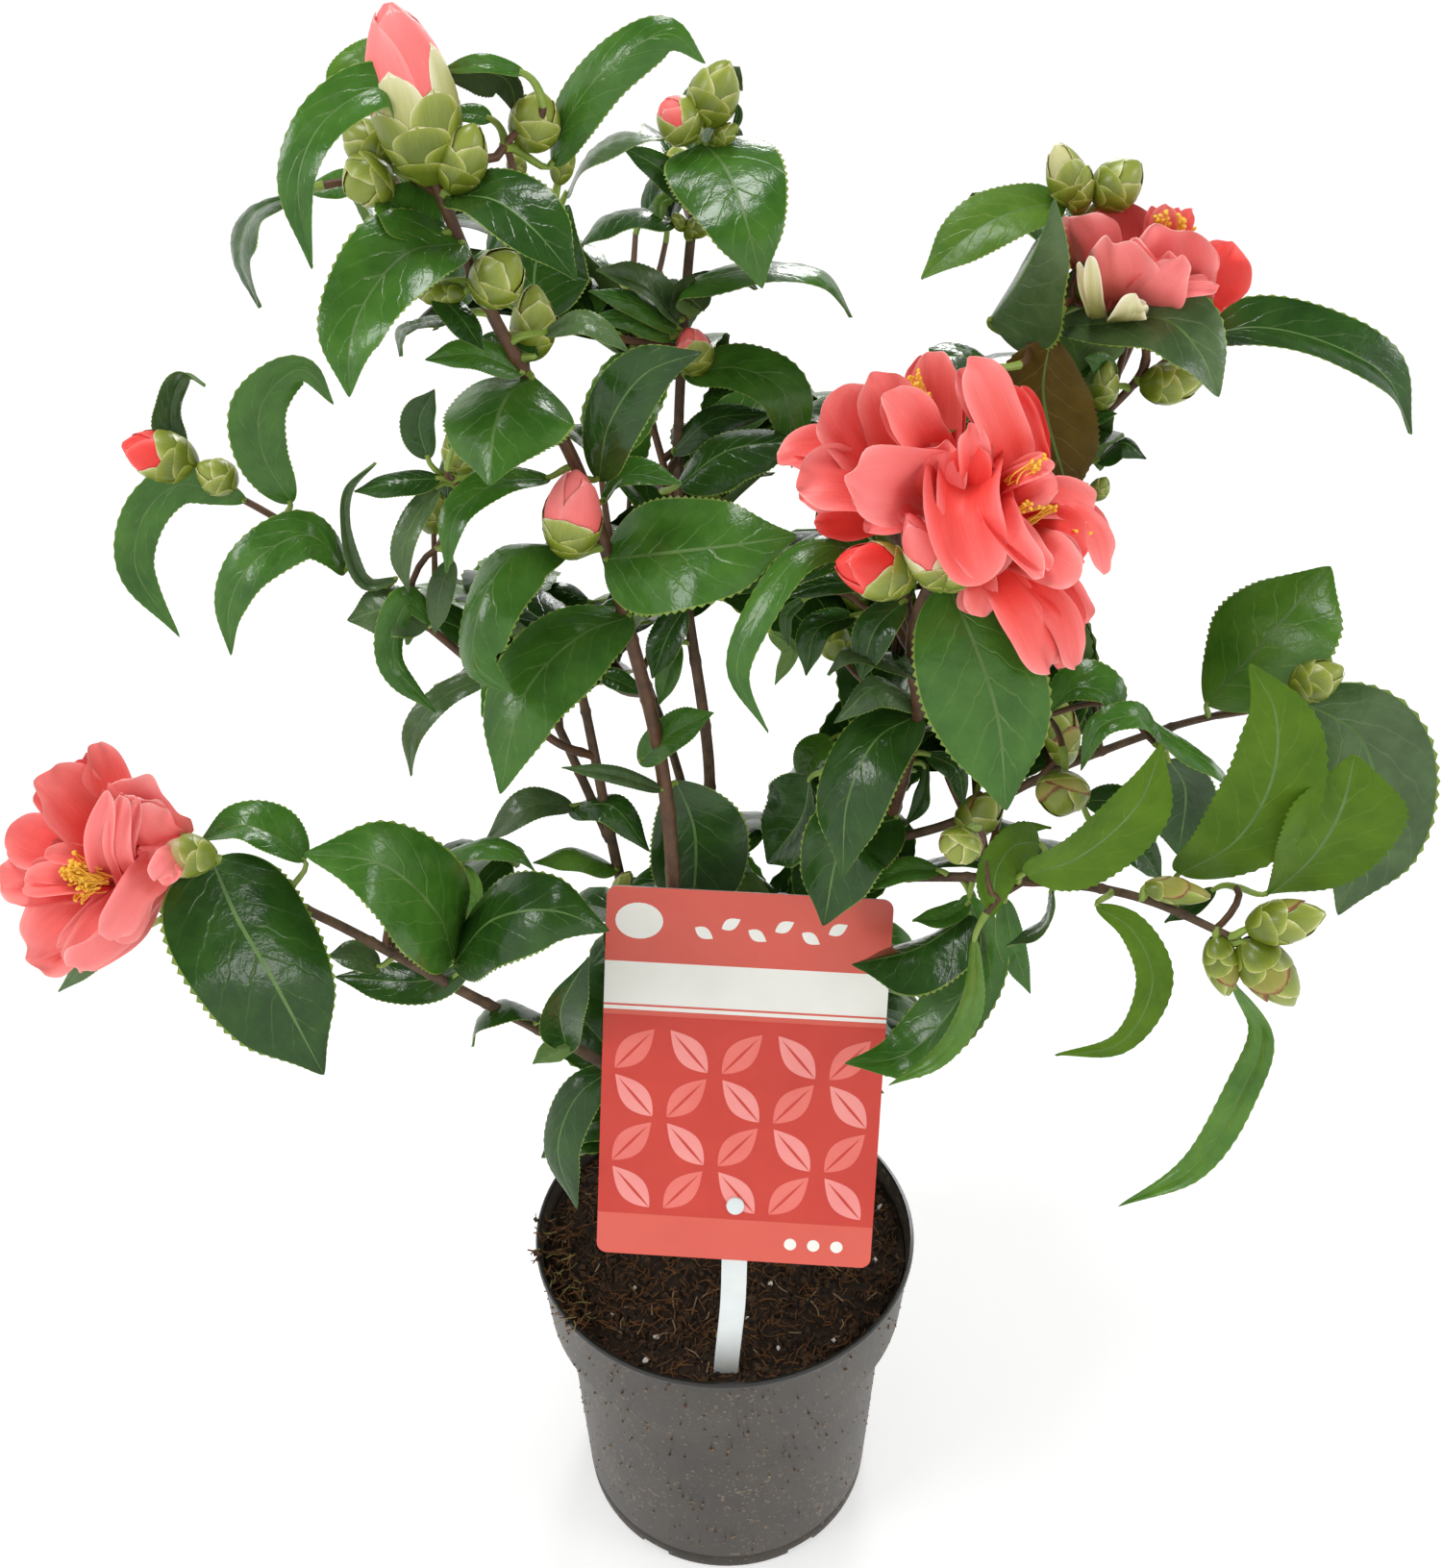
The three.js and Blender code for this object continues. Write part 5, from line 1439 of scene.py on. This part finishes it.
def makeCompost():
    heap = newHeap("compost_surface", compostFinish)
    rings, spokes = compost["rings"], compost["spokes"]
    r = np.linspace(0.004, 1, rings) * compost["radius"] * mm
    a = np.linspace(0, 2 * math.pi, spokes, endpoint=False)
    x, y = r[:, None] * np.cos(a), r[:, None] * np.sin(a)
    z = groundAt(x, y) + dice.normal(0, 0.45 * mm, x.shape)
    skirt = np.stack([x[-1], y[-1], np.full(spokes, (compost["level"] - compost["skirt"]) * mm)], -1)
    verts = np.concatenate([np.stack([x, y, z], -1).reshape(-1, 3), skirt])
    base = np.arange(rings)[:, None] * spokes
    p, q = base + np.arange(spokes), base + (np.arange(spokes) + 1) % spokes
    quads = np.stack([p, p + spokes, q + spokes, q], -1).reshape(-1, 4)
    heapUp(heap, verts, [quads, np.arange(spokes)[None], (rings * spokes + np.arange(spokes))[::-1][None]],
           [0, 0, 0])
    names = {"crumb": 1, "perlite": 2, "root": 3, "coir": 4, "moss": 5}

    def crumb(at, radius, kind):
        way = unit(dice.normal(0, 1, 3))
        run = at + way * np.linspace(-0.9, 0.9, 3)[:, None] * radius
        tube(heap, run, radius * np.array([0.5, 1, 0.45]), kind, 4)

    def strand(at, reach, radius, kind, rise=(0.3, 1.4)):
        turn, curl = dice.uniform(0, 6.28), dice.uniform(-0.8, 0.8)
        ends = [at + np.array([reach * k * math.cos(turn + curl * k), reach * k * math.sin(turn + curl * k),
                               dice.uniform(*rise) * mm]) for k in (-0.5, 0, 0.5)]
        tube(heap, smoothPath(ends, 5), np.full(5, radius), kind, 4)

    def anywhere():
        spin, far = dice.uniform(0, 6.28), math.sqrt(dice.uniform(0.01, 0.97)) * compost["radius"] * mm
        x, y = far * math.cos(spin), far * math.sin(spin)
        return np.array([x, y, groundAt(x, y)])

    for _ in range(compost["crumbs"]):
        radius = dice.uniform(0.4, 2.0) * mm * dice.uniform(0.4, 1)
        crumb(anywhere() + [0, 0, radius * 0.3], radius, int(dice.random() < 0.55))
    for _ in range(compost["perlite"]):
        crumb(anywhere() + [0, 0, 0.5 * mm], dice.uniform(0.8, 1.9) * mm, names["perlite"])
    for _ in range(compost["coir"]):
        strand(anywhere() + [0, 0, dice.uniform(0, 1.2) * mm], dice.uniform(2, 8) * mm,
               dice.uniform(0.12, 0.32) * mm, names["coir"])
    for _ in range(compost["roots"]):
        strand(anywhere(), dice.uniform(4, 11) * mm, dice.uniform(0.2, 0.4) * mm, names["root"])
    for _ in range(compost["spilled"]):  # dry coir and moss heaped over the rim on the left
        spin = math.radians(dice.uniform(*compost["spillFrom"]))
        far = dice.uniform(*compost["spillReach"]) * mm
        over, past = max(0.0, far - 78 * mm), max(0, far - 85.4 * mm)
        spot = np.array([far * math.cos(spin), far * math.sin(spin), 143 * mm + over * 0.9 - past * 2])
        strand(spot, dice.uniform(4, 10) * mm, dice.uniform(0.2, 0.4) * mm,
               names[("coir", "coir", "moss")[int(dice.integers(3))]], (0.2, 3))
        crumb(spot, dice.uniform(0.6, 1.6) * mm, int(dice.random() < 0.5))
    for _ in range(compost["specks"]):  # dust on the outside of the pot
        spin = math.radians(dice.uniform(*compost["speckFrom"]))
        height = dice.uniform(*compost["speckHeight"])
        out = 68 + (height / 112) * 6 if height < 112 else 81 + (height - 113) / 34 * 3
        spot = np.array([out * math.cos(spin), out * math.sin(spin), height]) * mm
        crumb(spot, dice.uniform(0.2, 0.65) * mm, names["coir"] if dice.random() < 0.5 else names["root"])
    pour(heap, ["compost"], 60)


makeCompost()
print("pot and compost made")

# Label: a printed card, satin, on a translucent white stick, with a plain design of bands and leaves.
card = {
    "size": (107, 148), "corner": 4, "at": (7, -43.5, 272.5), "lean": (-19.5, 2, -3.5), "studDown": 51,
    "bands": [  # from and to, up from the lower edge, how far out its back and its face lie, and its colour
        (0, 148, -0.4, 0.4, "cream"), (119, 148, 0.4, 0.46, "coral"), (0, 100, 0.4, 0.46, "coral"),
        (101.5, 102.3, 0.4, 0.46, "coral"), (17, 98, 0.46, 0.5, "red"),
    ],
    "print": (0.46, 0.5),  # back and face of the small figures
    "leafGrid": (4, 5, 20.5, 18.8),  # the herringbone's rows and columns, and its steps across and up
}
cardSkin = {"grain": 3, "depth": 0.03, "Roughness": 0.35}
cardFinish = {
    "cream": mottled("printed_card_cream", "#efeee6", "#f7f6f0", patch=30, **cardSkin),
    "coral": mottled("printed_card_coral", "#d8584a", "#de6050", patch=30, **cardSkin),
    "rose": mottled("printed_card_rose", "#e4685e", "#ec7a70", patch=20, **cardSkin),
    "pink": mottled("printed_card_pink", "#ee8a86", "#f49c96", patch=20, **cardSkin),
    "red": mottled("printed_card_red", "#c63325", "#cf3d2d", patch=20, **cardSkin),
}
stickPlastic = mottled("translucent_white_polystyrene", "#e2e2df", "#f2f2ef", patch=20, grain=4, depth=0.03,
                       Roughness=0.3, Subsurface_Weight=0.2)
aboutX, aboutY, aboutZ = (Matrix.Rotation(math.radians(a), 4, axis) for a, axis in zip(card["lean"], "XYZ"))
cardPlace = Matrix.Translation(Vector(card["at"]) * mm) @ (aboutZ @ aboutY @ aboutX)


def cardPoint(x, z, out):  # a point on the card: across and up from its middle, and out in front of it, in mm
    return np.array((cardPlace @ Vector((x * mm, -out * mm, z * mm)))[:])


def plate(heap, outline, back, front, kind):  # a flat closed plate of the given outline on the card
    ring = [cardPoint(x, z, back) for x, z in outline] + [cardPoint(x, z, front) for x, z in outline]
    n = len(outline)
    k = np.arange(n)
    walls = np.stack([k, (k + 1) % n, (k + 1) % n + n, k + n], -1)
    heapUp(heap, ring, [walls, k[::-1][None], (k + n)[None]], [kind] * 3)


def roundedBand(low, high):  # a band right across the card, rounded where it takes in the card's own corners
    half, radius = card["size"][0] / 2, card["corner"]
    top, bottom = card["size"][1] / 2, -card["size"][1] / 2
    points = []
    for cx, cz, first in ((1, 1, 0), (-1, 1, 90), (-1, -1, 180), (1, -1, 270)):
        edge = high if cz > 0 else low
        rounded = abs(edge - (top if cz > 0 else bottom)) < 0.01
        for turn in np.radians(np.linspace(first, first + 90, 7)) if rounded else [0]:
            r = radius if rounded else 0
            points.append((cx * (half - r) + (r * math.cos(turn) if rounded else 0),
                           edge - cz * r + (r * math.sin(turn) if rounded else 0)))
    return points


def leafShape(x, z, length, width, turn):
    t = np.linspace(0, 1, 15)
    w = width / 2 * np.sin(math.pi * t**0.9)
    pts = [(a * length, b) for a, b in zip(t, w)] + [(a * length, -b) for a, b in zip(t[-2:0:-1], w[-2:0:-1])]
    c, s = math.cos(math.radians(turn)), math.sin(math.radians(turn))
    return [(x + c * a - s * b, z + s * a + c * b) for a, b in pts][::-1]


def makeLabel():
    top, bottom = card["size"][1] / 2, -card["size"][1] / 2
    heap = newHeap("label_card_print", list(cardFinish.values()))
    names = list(cardFinish)
    for low, high, back, front, colour in card["bands"]:
        plate(heap, roundedBand(bottom + low, bottom + high), back, front, names.index(colour))
    rows, columns, across, up = card["leafGrid"]
    for row in range(rows):
        for column in range(columns):
            turn = 48 if (row + column) % 2 else 132
            x = -41 + across * column - (7.5 if turn < 90 else -7.5)
            z = bottom + 20 + up * row
            plate(heap, leafShape(x, z, 22, 10.5, turn), 0.5, 0.54,
                  names.index("rose" if turn < 90 else "pink"))
            plate(heap, leafShape(x, z, 20, 1.1, turn), 0.54, 0.57, names.index("red"))
    for k in range(6):  # a row of small leaves, a disc and three dots
        small = leafShape(-20 + 10 * k, top - 14.5, 8, 4.4, 30 if k % 2 else -30)
        plate(heap, small, *card["print"], names.index("cream"))
    ring = np.radians(np.arange(0, 360, 15))
    discs = [(-41, top - 13, 9, 7)] + [(22 + 9 * k, bottom + 8, 2.4, 2.4) for k in range(3)]
    for x, z, wide, high in discs:
        disc = [(x + wide * math.cos(a), z + high * math.sin(a)) for a in ring]
        plate(heap, disc, *card["print"], names.index("cream"))
    pour(heap, ["label_card"], 40)


def makeStick():
    heap = newHeap("label_stick_strip", [stickPlastic])
    run = smoothPath(np.array([(0, -68.5, 106), (0, -70.5, 141), (3, -69, 180), (3.8, -65.4, 203),
                               (4.4, -59, 222), (4.6, -57, 228)]) * mm, 40)
    way = headings(run)
    across = unit(np.array([1.0, 0, 0]) - way * way[:, :1])
    outward = np.cross(way, across)
    corners = [(-5, -0.5), (-4.7, -0.8), (4.7, -0.8), (5, -0.5), (5, 0.5), (4.7, 0.8), (-4.7, 0.8), (-5, 0.5)]
    rings = np.stack([run + across * a * mm + outward * b * mm for a, b in corners], 1)
    n = len(corners)
    base = np.arange(len(run) - 1)[:, None] * n
    p, q = base + np.arange(n), base + (np.arange(n) + 1) % n
    walls = np.stack([p, q, q + n, p + n], -1).reshape(-1, 4)
    last = (len(run) - 1) * n + np.arange(n)
    heapUp(heap, rings.reshape(-1, 3), [walls, np.arange(n)[::-1][None], last[None]], [0, 0, 0])
    ends = [cardPoint(0, -card["studDown"], out) for out in (-4.6, -4.4, 0.9, 1.5, 1.9)]
    tube(heap, np.array(ends), np.array([2.8, 3.2, 3.5, 3.4, 2.4]) * mm, 0, 28)
    pour(heap, ["label_stick"], 40)


makeLabel()
makeStick()
print("label made")

# Studio: a plain pale dish of a floor, a soft sky and four large soft lights.
studio = {
    "floor": "#cfcfce", "radius": 1.6, "cove": 0.9, "wallTop": 2.1, "sky": 0.2, "glow": 0.5,
    "aim": (0, 0, 0.36),
    "lamps": {  # power, size and place of each
        "above": (13, 0.5, (-0.2, -0.1, 2.1)), "behind": (11, 0.5, (0.3, 1.5, 1.5)),
        "left": (7, 0.45, (-1.3, -0.8, 1.5)), "right": (4.5, 0.45, (1.4, -0.6, 1.3)),
    },
}


def makeStudio():
    bpy.ops.object.select_all(action="DESELECT")
    radius, cove, height = studio["radius"], studio["cove"], 0.0
    bpy.ops.mesh.primitive_circle_add(vertices=96, radius=radius, fill_type="NGON",
                                      location=(0, 0, -0.4 * mm))
    floor = bpy.context.object
    floor.name = "studio_floor"
    bpy.ops.object.transform_apply(location=True, rotation=True, scale=True)
    bpy.ops.object.mode_set(mode="EDIT")
    bpy.ops.mesh.select_mode(type="EDGE")
    bpy.ops.mesh.select_all(action="SELECT")
    rise = [(radius + cove * math.sin(a), cove * (1 - math.cos(a)))
            for a in np.radians(np.linspace(10, 90, 9))]
    for nextRadius, nextHeight in rise + [(radius + cove, studio["wallTop"])]:
        bpy.ops.mesh.extrude_edges_move(TRANSFORM_OT_translate={"value": (0, 0, nextHeight - height)})
        bpy.ops.transform.resize(value=(nextRadius / radius, nextRadius / radius, 1))
        radius, height = nextRadius, nextHeight
    bpy.ops.object.mode_set(mode="OBJECT")
    alone(floor)
    bpy.ops.object.shade_smooth()
    paper, _, shader = newMaterial("studio_paper", Roughness=0.9, Specular_IOR_Level=0.1)
    shader.inputs["Base Color"].default_value = linear(studio["floor"])
    shader.inputs["Emission Color"].default_value = (1, 1, 1, 1)
    shader.inputs["Emission Strength"].default_value = studio["glow"]
    floor.data.materials.append(paper)
    world = bpy.data.worlds.new("studio_sky")
    world.use_nodes = True
    world.node_tree.nodes["Background"].inputs["Color"].default_value = (1, 1, 1, 1)
    world.node_tree.nodes["Background"].inputs["Strength"].default_value = studio["sky"]
    bpy.context.scene.world = world
    for name, (power, size, spot) in studio["lamps"].items():
        lamp = bpy.data.lights.new("softbox_" + name, "AREA")
        lamp.energy = power
        lamp.size = size
        box = bpy.data.objects.new("softbox_" + name, lamp)
        bpy.context.collection.objects.link(box)
        box.location = spot
        aim = Vector(studio["aim"]) - Vector(spot)
        box.rotation_euler = aim.to_track_quat("-Z", "Y").to_euler()
    bpy.context.scene.view_settings.view_transform = "Standard"


def makeCamera():
    lens = bpy.data.cameras.new("camera")
    lens.sensor_width = view["sensor"]
    lens.lens = view["focal"] * view["sensor"] / view["high"]
    lens.clip_start = 0.01
    camera = bpy.data.objects.new("camera", lens)
    bpy.context.collection.objects.link(camera)
    camera.matrix_world = (Matrix.Translation(view["eye"]) @ Matrix.Rotation(math.pi / 2 - viewDown, 4, "X")
                           @ Matrix.Rotation(viewRoll, 4, "Z"))
    bpy.context.scene.camera = camera


makeStudio()
makeCamera()
